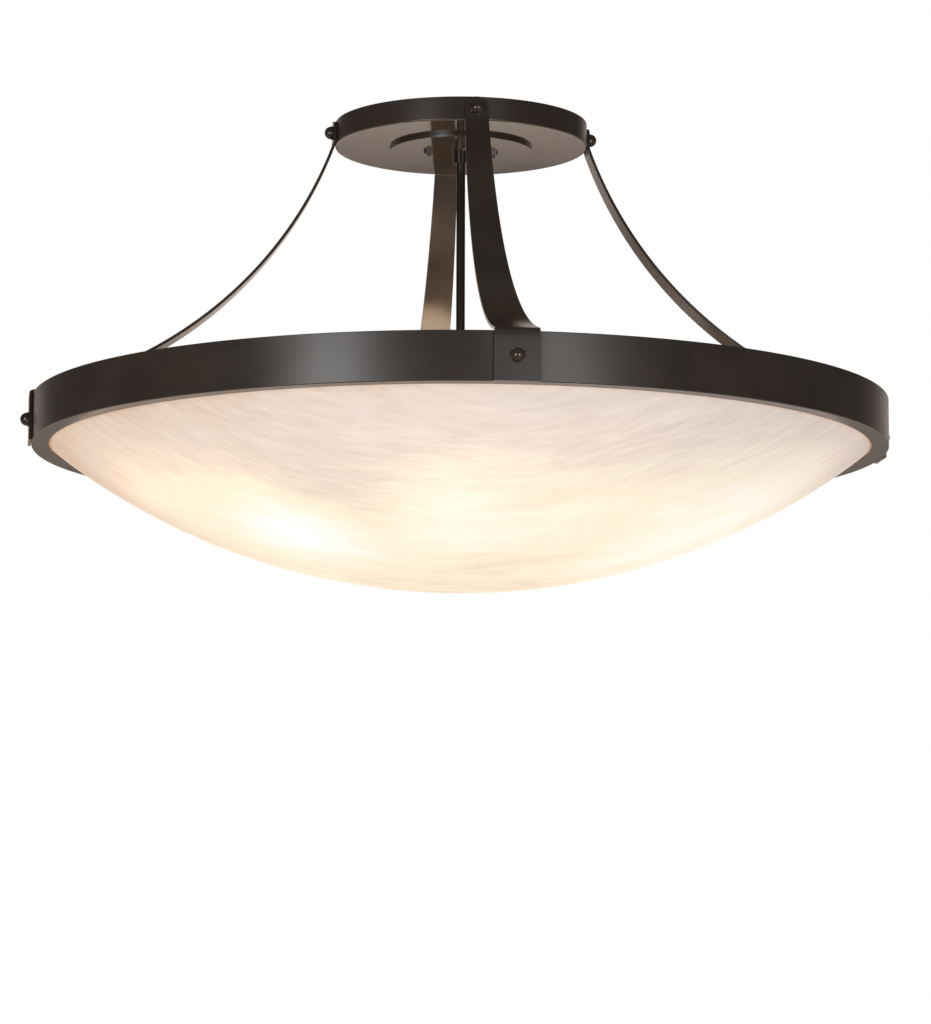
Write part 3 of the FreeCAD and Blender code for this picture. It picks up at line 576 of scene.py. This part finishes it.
def layAlongX(piece, level):
    # what was turned about Z lies along X
    piece.rotation_euler = (0, math.pi / 2, 0)
    piece.location = (0, 0, level)
    applyPlace(piece)
    return piece


def swungCopies(piece, turns):
    # the copies stand round the stem and take the piece's place
    copies = []
    for turn in turns:
        copied = piece.copy()
        copied.data = piece.data.copy()
        bpy.context.scene.collection.objects.link(copied)
        copied.rotation_euler = (0, 0, math.radians(turn))
        applyPlace(copied)
        copies.append(copied)
    bpy.data.objects.remove(piece)
    return copies


def joined(pieces):
    deselect()
    for piece in pieces:
        piece.select_set(True)
    bpy.context.view_layer.objects.active = pieces[0]
    bpy.ops.object.join()
    return pieces[0]


def paint(piece, material, below=None):
    # below goes on faces that look straight down
    straightDown = -0.9
    piece.data.materials.clear()
    piece.data.materials.append(material)
    if below:
        piece.data.materials.append(below)
        for face in piece.data.polygons:
            if face.normal.z < straightDown:
                face.material_index = 1


# ring and bowl

ringShape = {"radius": 0.4572, "height": 0.050, "wall": 0.003, "lip": 0.0187,
             "lipWall": 0.0025, "edge": 0.0006, "bend": 0.0011, "innerBend": 0.0008,
             "cornerSteps": 4, "steps": 384}


def makeRing():
    outer = ringShape["radius"]
    inner = outer - ringShape["wall"]
    lip = outer - ringShape["lip"]
    edge = ringShape["edge"]
    section = roundedCorners([
        (lip, 0, edge), (outer, 0, ringShape["bend"]), (outer, ringShape["height"], edge),
        (inner, ringShape["height"], edge),
        (inner, ringShape["lipWall"], ringShape["innerBend"]),
        (lip, ringShape["lipWall"], edge)], ringShape["cornerSteps"])
    ring = turnedPiece("ring_band", section, ringShape["steps"])
    lift(ring, ringLevel)
    paint(ring, satinBronze, lipBronze)
    settle(ring, "ring_band", "fixture", ["ring_frame"])


# the bowl is part of a sphere that stands on the lip's inner edge
bowlShape = {"depth": 0.1477, "wall": 0.0045, "rise": 0.008, "gap": 0.0004, "edge": 0.0013,
             "rows": 72, "steps": 256, "smooth": 60}


def makeBowl():
    touch = ringShape["radius"] - ringShape["lip"] - bowlShape["gap"]
    height = bowlShape["depth"] + ringShape["lipWall"]
    outer = (touch ** 2 + height ** 2) / (2 * height)
    centre = outer - bowlShape["depth"]
    inner = outer - bowlShape["wall"]
    rimTurn = math.asin((bowlShape["rise"] - centre) / outer)
    innerTurn = math.asin((bowlShape["rise"] - centre) / inner)
    edge = bowlShape["edge"]
    bottom = -math.pi / 2
    outerFace = arcPoints((0, centre), outer, bottom, rimTurn, bowlShape["rows"])
    innerFace = arcPoints((0, centre), inner, innerTurn, bottom, bowlShape["rows"])
    rim = roundedCorners([(*outerFace[-2], 0), (*outerFace[-1], edge),
                          (*innerFace[0], edge), (*innerFace[1], 0)])[1:-1]
    bowl = turnedPiece("bowl_shell", outerFace[:-1] + rim + innerFace[1:],
                       bowlShape["steps"], bowlShape["smooth"])
    lift(bowl, ringLevel)
    paint(bowl, bowlStonePaintedGlow)
    settle(bowl, "bowl_shell", "diffuser", ["bowl"])


makeRing()
makeBowl()
print("ring and bowl made")


# straps: a flat bar with a tab at each end and one long sweep between

strapShape = {"wall": 0.0032, "headIn": 0.136, "footIn": 0.4572, "headWidth": 0.0243,
              "footWidth": 0.0466, "radius": 0.4353, "lean": math.radians(48.9),
              # heights above the ring's lower edge
              "headTop": 0.35645, "bend": 0.3328, "corner": 0.0526,
              "headBend": 0.003, "footBend": 0.004, "headRound": 0.0112, "edge": 0.0005,
              "bevelled": 50, "smooth": 18,
              "headSteps": 12, "tabSteps": 3, "headBendSteps": 4, "sweepSteps": 56,
              "footBendSteps": 8, "footSteps": 6}


def spokeAt(turn):
    return Vector((math.cos(turn), math.sin(turn)))


def strapPath():
    # outer face of the bar from its top to its foot, as (point, outward normal)
    shape = strapShape
    headOut = shape["headIn"] + shape["wall"]
    footOut = shape["footIn"] + shape["wall"]
    run = footOut - headOut
    fall = shape["bend"] - shape["corner"]
    chord = math.hypot(run, fall)
    reach = math.sqrt(shape["radius"] ** 2 - chord ** 2 / 4)
    centre = Vector(((headOut + footOut) / 2 + fall / chord * reach,
                     (shape["bend"] + shape["corner"]) / 2 + run / chord * reach))

    # the small bend at the head touches the tab's face and the sweep
    small = shape["headBend"]
    bendX = headOut + small
    headBendZ = centre.y - math.sqrt((shape["radius"] - small) ** 2 - (centre.x - bendX) ** 2)
    headCentre = Vector((bendX, headBendZ))

    # the foot's bend is turned the other way
    foot = shape["footBend"]
    footX = footOut - foot
    footZ = centre.y - math.sqrt((shape["radius"] + foot) ** 2 - (centre.x - footX) ** 2)
    footCentre = Vector((footX, footZ))

    # the head's corners are round: stations stand closer near the top
    outward = Vector((1, 0))
    path = []
    tabLength = shape["headTop"] - headBendZ
    for step in range(shape["headSteps"] + 1):
        below = shape["headRound"] * (1 - math.cos(math.pi / 2 * step / shape["headSteps"]))
        path.append((Vector((headOut, shape["headTop"] - below)), outward))
    for step in range(1, shape["tabSteps"]):
        below = (shape["headRound"]
                 + (tabLength - shape["headRound"]) * step / shape["tabSteps"])
        path.append((Vector((headOut, shape["headTop"] - below)), outward))
    first = math.atan2(headCentre.y - centre.y, headCentre.x - centre.x)
    last = math.atan2(footCentre.y - centre.y, footCentre.x - centre.x)
    for step in range(shape["headBendSteps"] + 1):
        spoke = spokeAt(-math.pi + (first + math.pi) * step / shape["headBendSteps"])
        path.append((headCentre + spoke * small, -spoke))
    for step in range(1, shape["sweepSteps"]):
        spoke = spokeAt(first + (last - first) * step / shape["sweepSteps"])
        path.append((centre + spoke * shape["radius"], -spoke))
    start = math.atan2(centre.y - footCentre.y, centre.x - footCentre.x)
    for step in range(shape["footBendSteps"] + 1):
        spoke = spokeAt(start * (1 - step / shape["footBendSteps"]))
        path.append((footCentre + spoke * foot, spoke))
    for step in range(1, shape["footSteps"] + 1):
        path.append((Vector((footOut, footZ * (1 - step / shape["footSteps"]))), outward))
    return path


def strapHalfWidth(reach, height):
    # the bar's sides run straight, seen square to the sweep's chord
    shape = strapShape
    sine, cosine = math.sin(shape["lean"]), math.cos(shape["lean"])
    top = shape["headTop"] * cosine - shape["headIn"] * sine
    bottom = -(shape["footIn"] + shape["wall"]) * sine
    share = (top - (height * cosine - reach * sine)) / (top - bottom)
    half = (shape["headWidth"] + (shape["footWidth"] - shape["headWidth"]) * share) / 2
    corner = shape["headRound"]
    short = max(height - (shape["headTop"] - corner), 0)
    return half - corner + math.sqrt(max(corner ** 2 - short ** 2, 0))


def makeStrap():
    shape = strapShape
    path = strapPath()
    deselect()
    bpy.ops.mesh.primitive_cube_add(size=1)
    strap = bpy.context.object
    # the bar lies along Z while it is cut into steps
    bpy.ops.object.mode_set(mode="EDIT")
    bpy.ops.mesh.select_mode(type="EDGE")
    mesh = bmesh.from_edit_mesh(strap.data)
    for edge in mesh.edges:
        ends = [vertex.co for vertex in edge.verts]
        edge.select_set(abs(ends[0].z - ends[1].z) > 0.5)
    bmesh.update_edit_mesh(strap.data)
    bpy.ops.mesh.subdivide(number_cuts=len(path) - 2)
    bpy.ops.object.mode_set(mode="OBJECT")
    for vertex in strap.data.vertices:
        step = round((0.5 - vertex.co.z) * (len(path) - 1))
        outerPoint, normal = path[step]
        inward = 0 if vertex.co.x > 0 else shape["wall"]
        place = outerPoint - normal * inward
        half = strapHalfWidth(*outerPoint)
        vertex.co = (place.x, math.copysign(half, vertex.co.y), place.y)
    bevelEdges(strap, shape["edge"], shape["bevelled"])
    lift(strap, ringLevel)
    bpy.ops.object.shade_smooth_by_angle(angle=math.radians(shape["smooth"]))
    paint(strap, barBronze)
    for side, copied in zip(strapTurns, swungCopies(strap, strapTurns.values())):
        settle(copied, "strap_bar_" + side, "fixture", ["strap_" + side])


makeStrap()
print("straps made")


# canopy and cover disc

canopyShape = {"radius": 0.136, "depth": 0.0254, "wall": 0.0015, "edge": 0.0016}
discShape = {"radius": 0.0765, "depth": 0.004, "wall": 0.0012, "edge": 0.0007}
panShape = {"hole": 0.00495, "holeEdge": 0.0002, "brimEdge": 0.0003, "innerShare": 0.4,
            "steps": 256}


def makePan(name, shape, level, node):
    # a shallow round pan, open upwards, with a hole for the stem
    inner = shape["radius"] - shape["wall"]
    hole, holeEdge, brimEdge = panShape["hole"], panShape["holeEdge"], panShape["brimEdge"]
    section = roundedCorners([
        (hole, 0, holeEdge), (shape["radius"], 0, shape["edge"]),
        (shape["radius"], shape["depth"], brimEdge), (inner, shape["depth"], brimEdge),
        (inner, shape["wall"], shape["edge"] * panShape["innerShare"]),
        (hole, shape["wall"], holeEdge)])
    pan = turnedPiece(name, section, panShape["steps"])
    lift(pan, level)
    paint(pan, satinBronze, glossBronze)
    settle(pan, name, "fixture", [node])


makePan("canopy_pan", canopyShape, canopyLevel, "canopy")
makePan("cover_plate", discShape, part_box("cover_disc")[0].z, "cover_disc")
print("canopy made")


# fastenings

fastening = {"ball": 0.007, "offset": 0.0018, "flats": 0.0135, "base": 0.0016,
             "baseEdge": 0.0003, "baseBevelled": 40, "domeSteps": 20, "nutSteps": 48,
             "nutSmooth": 40, "screwRadius": 0.0024, "headRadius": 0.0045,
             "headHeight": 0.003, "engagement": 0.005,
             # the head's rounding: (share of its radius, distance from its top)
             "headCurve": [(0, 0), (0.45, 0.00006), (0.75, 0.0004), (0.94, 0.0011),
                           (1, 0.0019)],
             "tipLength": 0.0005, "tipCut": 0.0004, "screwSteps": 40, "smooth": 30,
             "recess": (0.0046, 0.0009, 0.0036), "recessTaper": 0.45,
             "washer": 0.001, "play": 0.0004, "washerTurn": 347, "washerSteps": 48}


def hexPrism(name, flats, low, high, bevel):
    deselect()
    bpy.ops.mesh.primitive_cylinder_add(vertices=6, radius=flats / math.sqrt(3),
                                        depth=high - low, location=(0, 0, (low + high) / 2),
                                        rotation=(0, 0, math.pi / 6))
    prism = bpy.context.object
    prism.name = name
    applyPlace(prism)
    bevelEdges(prism, bevel, fastening["baseBevelled"])
    bpy.ops.object.shade_smooth_by_angle(angle=math.radians(fastening["smooth"]))
    return prism


def makeBallNuts(place, level, wallOut):
    face = wallOut + strapShape["wall"]
    ball = fastening["ball"]
    offset = fastening["offset"]
    flat = math.sqrt(ball ** 2 - offset ** 2)
    start = -math.asin(offset / ball)
    dome = arcPoints((0, face + offset), ball, start, math.pi / 2, fastening["domeSteps"])
    nut = turnedPiece("nut", dome + [(0, face), (flat, face)], fastening["nutSteps"],
                      fastening["nutSmooth"])
    base = hexPrism("base", fastening["flats"], face, face + fastening["base"],
                    fastening["baseEdge"])
    nut = joined([nut, base])
    layAlongX(nut, level)
    nuts = joined(swungCopies(nut, strapTurns.values()))
    paint(nuts, polishedBronze)
    settle(nuts, place + "_ball_nut_set", "fixture", [place + "_ball_nuts"])


def seatOf(wallIn):
    # where a flat washer's rim meets the inside of the round wall
    return math.sqrt(wallIn ** 2 - fastening["headRadius"] ** 2)


def makeScrews(place, level, wallIn, wallOut):
    # pan-head screws with a cross recess, pushed out through the wall
    head = fastening["headRadius"]
    headFace = seatOf(wallIn) - fastening["washer"]
    headEnd = headFace - fastening["headHeight"]
    tip = wallOut + strapShape["wall"] + fastening["engagement"]
    shank = fastening["screwRadius"]
    section = [(head * share, headEnd + down) for share, down in fastening["headCurve"]]
    section += [(head, headFace), (shank, headFace), (shank, tip - fastening["tipLength"]),
                (shank - fastening["tipCut"], tip), (0, tip)]
    screw = turnedPiece("screw", section, fastening["screwSteps"], fastening["smooth"])
    deselect()
    recess = []
    taper = fastening["recessTaper"]
    for turn in (0, math.pi / 2):
        bpy.ops.mesh.primitive_cube_add(size=1, location=(0, 0, headEnd),
                                        scale=fastening["recess"])
        bar = bpy.context.object
        bar.rotation_euler.z = turn
        applyPlace(bar)
        bar.data.name = "recess"
        for vertex in bar.data.vertices:
            if vertex.co.z > headEnd:
                vertex.co.x *= taper
                vertex.co.y *= taper if turn else 1
        recess.append(bar)
    for bar in recess:
        cut = screw.modifiers.new("recess", "BOOLEAN")
        cut.object = bar
        cut.operation = "DIFFERENCE"
        cut.solver = "EXACT"
        pick(screw)
        bpy.ops.object.modifier_apply(modifier="recess")
        bpy.data.objects.remove(bar)
    layAlongX(screw, level)
    screws = joined(swungCopies(screw, strapTurns.values()))
    paint(screws, zincSteel)
    settle(screws, place + "_screw_set", "fixture", [place + "_screws"])


def makeLockWashers(place, level, wallIn):
    # a split ring: the section is spun nearly all the way round, and its ends are closed
    seat = seatOf(wallIn)
    low = seat - fastening["washer"]
    bore = fastening["screwRadius"] + fastening["play"] / 2
    deselect()
    bpy.ops.mesh.primitive_plane_add(size=1)
    washer = bpy.context.object
    for vertex in washer.data.vertices:
        vertex.co = (fastening["headRadius"] if vertex.co.x > 0 else bore, 0,
                     seat if vertex.co.y > 0 else low)
    bpy.ops.object.mode_set(mode="EDIT")
    bpy.ops.mesh.select_all(action="SELECT")
    bpy.ops.mesh.spin(steps=fastening["washerSteps"],
                      angle=math.radians(fastening["washerTurn"]),
                      center=(0, 0, 0), axis=(0, 0, 1))
    bpy.ops.mesh.select_all(action="SELECT")
    bpy.ops.mesh.normals_make_consistent(inside=False)
    bpy.ops.object.mode_set(mode="OBJECT")
    pick(washer)
    bpy.ops.object.shade_smooth_by_angle(angle=math.radians(fastening["smooth"]))
    layAlongX(washer, level)
    washers = joined(swungCopies(washer, strapTurns.values()))
    paint(washers, zincSteel)
    settle(washers, place + "_split_washers", "fixture", [place + "_lock_washers"])


for place, level, shape in (("canopy", canopyLevel / 2, canopyShape),
                            ("ring", ringLevel + ringShape["height"] / 2, ringShape)):
    wallOut = shape["radius"]
    wallIn = wallOut - shape["wall"]
    makeBallNuts(place, level, wallOut)
    makeScrews(place, level, wallIn, wallOut)
    makeLockWashers(place, level, wallIn)
print("fastenings made")


# lamps

# places along a lamp are metres from the stem
capShape = {"base": 0.1099, "length": 0.025, "radius": 0.013, "tip": 0.004,
            # contact: (share of the tip's radius, metres from the base)
            "contact": [(0, 0), (0.7, 0.0001), (1, 0.0009), (1, 0.0018), (0, 0.0018)],
            # black glass, a cone from the contact to the shell
            "glassFrom": 0.0012, "glassTip": 0.98, "cone": 0.2, "glassWide": 0.84,
            "glassLap": 0.0005,
            # shell: shares of the radius, and the thread starts at a share of the cone
            "shellFrom": 0.80, "shellBend": 0.87, "shellRise": 0.0006,
            "threadFrom": 1.3, "pitch": 0.0036, "threadDepth": 0.0007, "threadSteps": 40,
            # plain collar: (metres inside the radius, metres before the end)
            "threadTo": 0.006, "collar": [(0.0001, 0.005), (0, 0.0008), (0.0002, 0)],
            "steps": 48, "smooth": 50}


def makeLampCap():
    # rolled screw cap: contact, black glass, then the waves of the thread and a plain collar
    shape = capShape
    base = shape["base"]
    tip = shape["tip"]
    cap = shape["radius"]
    cone = shape["length"] * shape["cone"]
    end = base + shape["length"]
    contact = [(tip * share, base + along) for share, along in shape["contact"]]
    start = base + shape["glassFrom"]
    wide = cap * shape["glassWide"]
    lapped = base + cone + shape["glassLap"]
    glass = [(0, start), (tip * shape["glassTip"], start), (wide, base + cone),
             (wide, lapped), (0, lapped)]
    threadStart = base + cone * shape["threadFrom"]
    threadEnd = end - shape["threadTo"]
    thread = []
    for step in range(shape["threadSteps"] + 1):
        along = threadStart + (threadEnd - threadStart) * step / shape["threadSteps"]
        swell = math.cos(tau * (along - threadStart) / shape["pitch"])
        thread.append((cap - shape["threadDepth"] * (0.5 + 0.5 * swell), along))
    shell = [(0, base + cone), (cap * shape["shellFrom"], base + cone),
             (cap * shape["shellBend"], base + cone + shape["shellRise"]), *thread,
             *((cap - inside, end - before) for inside, before in shape["collar"]), (0, end)]
    parts = []
    for section, material in ((contact, zincSteel), (glass, blackGlass), (shell, aluminium)):
        piece = turnedPiece("cap", section, shape["steps"], shape["smooth"])
        paint(piece, material)
        parts.append(piece)
    return layAlongX(joined(parts), lampLevel)


globeShape = {"length": 0.108, "ball": 0.030, "wall": 0.001, "shoulder": 0.325,
              # the neck's line: so much of a straight one and so much of a smooth step
              "straight": 0.55, "eased": 0.45, "neckSteps": 12, "ballSteps": 26,
              "steps": 64, "smooth": 60}


def makeLampGlass():
    # the glass runs from the cap's end; its length counts from the cap's base
    shape = globeShape
    steps = shape["neckSteps"]
    capEnd = capShape["base"] + capShape["length"]
    centre = capShape["base"] + shape["length"] - shape["ball"]
    outer = shape["ball"]
    inner = outer - shape["wall"]
    neck = capShape["radius"] - shape["wall"] / 2
    along = centre - outer * shape["shoulder"]
    wide = outer * math.sqrt(1 - shape["shoulder"] ** 2)
    outline = []
    for step in range(steps + 1):
        share = step / steps
        ease = share * share * (3 - 2 * share)
        widening = shape["straight"] * share + shape["eased"] * ease
        outline.append((neck + (wide - neck) * widening, capEnd + (along - capEnd) * share))
    wall = [(reach - shape["wall"], height) for reach, height in reversed(outline)]
    start = math.atan2(along - centre, wide)
    outline += arcPoints((0, centre), outer, start, math.pi / 2, shape["ballSteps"])[1:]
    innerStart = math.atan2(along - centre, wide - shape["wall"])
    innerArc = arcPoints((0, centre), inner, math.pi / 2, innerStart, shape["ballSteps"])
    section = outline + innerArc + wall[1:]
    return layAlongX(turnedPiece("glass", section, shape["steps"], shape["smooth"]), lampLevel)


def lampBody(number):
    return "lamp_%d" % number


def swungSet(piece, title, nodeTitle, bodyOf):
    # one piece for each lamp, numbered from 1
    turns = [clusterTurn + 360 / lampCount * number for number in range(lampCount)]
    for number, copied in enumerate(swungCopies(piece, turns), start=1):
        settle(copied, title + str(number), bodyOf(number), [nodeTitle + str(number)])


lampCap = makeLampCap()
swungSet(lampCap, "lamp_screw_cap_", "lamp_cap_", lampBody)
lampGlass = makeLampGlass()
paint(lampGlass, frostedGlass)
swungSet(lampGlass, "lamp_globe_", "lamp_glass_", lampBody)

holderShape = {"start": 0.104, "length": 0.0305, "outer": 0.018, "neck": 0.011,
               "neckLength": 0.009, "back": 0.004, "bore": 0.0141, "hole": 0.0048,
               # radii of its corners, from the wires' hole round the outside and back
               "corners": (0.0004, 0.0012, 0.003, 0.0011, 0.0009, 0.0005, 0.0005, 0.0003),
               "steps": 64, "smooth": 40}


def makeHolder():
    shape = holderShape
    start = shape["start"]
    step = start + shape["neckLength"]
    end = start + shape["length"]
    back = shape["back"]
    places = [(shape["hole"], start), (shape["neck"], start), (shape["outer"], step),
              (shape["outer"], end), (shape["bore"], end), (shape["bore"], step + back),
              (shape["neck"] - back, start + back), (shape["hole"], start + back)]
    section = roundedCorners([(*place, radius)
                              for place, radius in zip(places, shape["corners"])])
    return layAlongX(turnedPiece("holder", section, shape["steps"], shape["smooth"]),
                     lampLevel)


holder = makeHolder()
paint(holder, porcelain)
swungSet(holder, "porcelain_holder_", "lampholder_", lambda number: "fixture")
print("lamps made")


# carried-over nodes get their own finish

keptFinishes = [
    (zincSteel, ["mounting_plate", "stem_nipple", "stem_locknut", "hub_locknut"]),
    (polishedBronze, ["plate_studs", "stud_nuts", "hub_cover_screws"]),
    (stemBronze, ["stem", "stem_coupling", "stem_washer"]),
    (satinBronze, ["hub", "hub_cover"]),
    (satinBronze, ["arm_%d" % number for number in range(1, lampCount + 1)]),
    (aluminium, ["lampholder_shells"]),
    (brassMetal, ["lampholder_contacts"]),
    (greenPaint, ["ground_screw"]),
    (leadBlack, ["lead_hot"]),
    (leadWhite, ["lead_neutral", "socket_leads"]),
    (leadGreen, ["ground_lead"]),
    (orangePlastic, ["wire_connectors"]),
]
for material, names in keptFinishes:
    for name in names:
        nodes[name].data.materials.clear()
        nodes[name].data.materials.append(material)
print("finishes given")


# stage: near-white floor, two soft round lights and a plain sky

stageLook = {
    "floorLevel": -2.6,
    "floorRadius": 90,
    "floorSides": 128,
    "floorColour": (0.82, 0.82, 0.81, 1),
    "floorRoughness": 0.9,
    "floorSeen": (0.50, 0.50, 0.50, 1),
    "seenSky": 1.0,
    "lightingSky": 0.42,
    # what metal mirrors: a pale warm backdrop behind, a dim room in front and above
    "mirroredBack": 0.95,
    "mirroredFront": 0.13,
    "mirroredFrom": (0.78, 0.98),
    "mirroredTint": (1.0, 0.85, 0.76, 1),
    "mirroredFloor": (0.52, 0.43, 0.37, 1),
    # (metres behind the stem, share of that colour): pale, then a dark strip, then dim
    "mirroredBand": [(6, 1.15), (9.6, 2.50), (10.6, 2.50), (12.0, 0.0), (12.6, 0.25),
                     (13.4, 0.56), (20, 0.56)],
    # (name, degrees to the right of the camera, degrees up, metres away, width, watts)
    "lights": [
        ("left_box", -31, -1, 3.4, 1.30, 62.0),
        ("right_box", 24, -3, 3.4, 1.60, 48.0),
    ],
}
backTurn = math.radians(cameraView["heading"])
backwards = (-math.sin(backTurn), math.cos(backTurn), 0)

deselect()
bpy.ops.mesh.primitive_circle_add(vertices=stageLook["floorSides"],
                                  radius=stageLook["floorRadius"], fill_type="NGON",
                                  location=(0, 0, stageLook["floorLevel"]))
floor = bpy.context.object
floor.name = "floor"
ground, groundShader = newMaterial("floor")
groundShader.inputs["Roughness"].default_value = stageLook["floorRoughness"]
groundShader.inputs["Base Color"].default_value = stageLook["floorColour"]
floorRay = addNode(ground, "LightPath").outputs
floorLift = addNode(ground, "Emission", {
    "Color": stageLook["floorSeen"], "Strength": floorRay["Is Camera Ray"]})
litFloor = addNode(ground, "AddShader", {0: groundShader.outputs[0],
                                         1: floorLift.outputs[0]})
# metal mirrors it in bands
farBack = vectorCalc(ground, "DOT_PRODUCT", objectPlace(ground), backwards, output="Value")
nearest, farthest = stageLook["mirroredBand"][0][0], stageLook["mirroredBand"][-1][0]
band = ramp(ground, remap(ground, farBack, nearest, farthest, 0.0, 1.0),
            [((far - nearest) / (farthest - nearest), (share, share, share, 1))
             for far, share in stageLook["mirroredBand"]])
mirroredFloor = addNode(ground, "Emission", {"Color": stageLook["mirroredFloor"],
                                             "Strength": band})
floorFace = addNode(ground, "MixShader", {0: floorRay["Is Glossy Ray"],
                                          1: litFloor.outputs[0],
                                          2: mirroredFloor.outputs[0]})
# seen from below it lets the view through
backOf = addNode(ground, "NewGeometry").outputs["Backfacing"]
seeThrough = addNode(ground, "BsdfTransparent")
floorMix = addNode(ground, "MixShader", {0: backOf, 1: floorFace.outputs[0],
                                         2: seeThrough.outputs[0]})
feed(ground, ground.node_tree.nodes["Material Output"].inputs["Surface"],
     floorMix.outputs[0])
floor.data.materials.append(ground)

world = bpy.data.worlds.new("sky")
bpy.context.scene.world = world
world.use_nodes = True
background = world.node_tree.nodes["Background"]
ray = addNode(world, "LightPath").outputs
towards = addNode(world, "TexCoord").outputs["Generated"]
behind = vectorCalc(world, "DOT_PRODUCT", towards, backwards, output="Value")
mirrored = remap(world, behind, *stageLook["mirroredFrom"],
                 stageLook["mirroredFront"], stageLook["mirroredBack"])
seen = calc(world, "MAXIMUM", ray["Is Camera Ray"], ray["Is Transmission Ray"])
lighting = calc(world, "ADD", stageLook["lightingSky"],
                calc(world, "MULTIPLY", seen, stageLook["seenSky"] - stageLook["lightingSky"]))
onlyGlossy = calc(world, "MULTIPLY", ray["Is Glossy Ray"], calc(world, "SUBTRACT", 1.0, seen))
# a Mix node's plain numbers are its sockets 2 and 3
feed(world, background.inputs["Strength"],
     addNode(world, "Mix", {0: onlyGlossy, 2: lighting, 3: mirrored}).outputs[0])
feed(world, background.inputs["Color"],
     blendColours(world, onlyGlossy, (1, 1, 1, 1), stageLook["mirroredTint"]))

for name, heading, rise, far, size, power in stageLook["lights"]:
    lightData = bpy.data.lights.new(name, "AREA")
    lightData.shape = "DISK"
    lightData.size = size
    lightData.energy = power
    light = bpy.data.objects.new(name, lightData)
    bpy.context.scene.collection.objects.link(light)
    # it faces the ring's middle
    turn = math.radians(heading + cameraView["heading"])
    middle = Vector((0, 0, ringLevel))
    outward = Vector((math.sin(turn), -math.cos(turn), 0)) * math.cos(math.radians(rise))
    outward.z = math.sin(math.radians(rise))
    light.location = middle + outward * far
    light.rotation_mode = "QUATERNION"
    light.rotation_quaternion = outward.to_track_quat("Z", "Y")
    light.visible_camera = False
print("stage set")
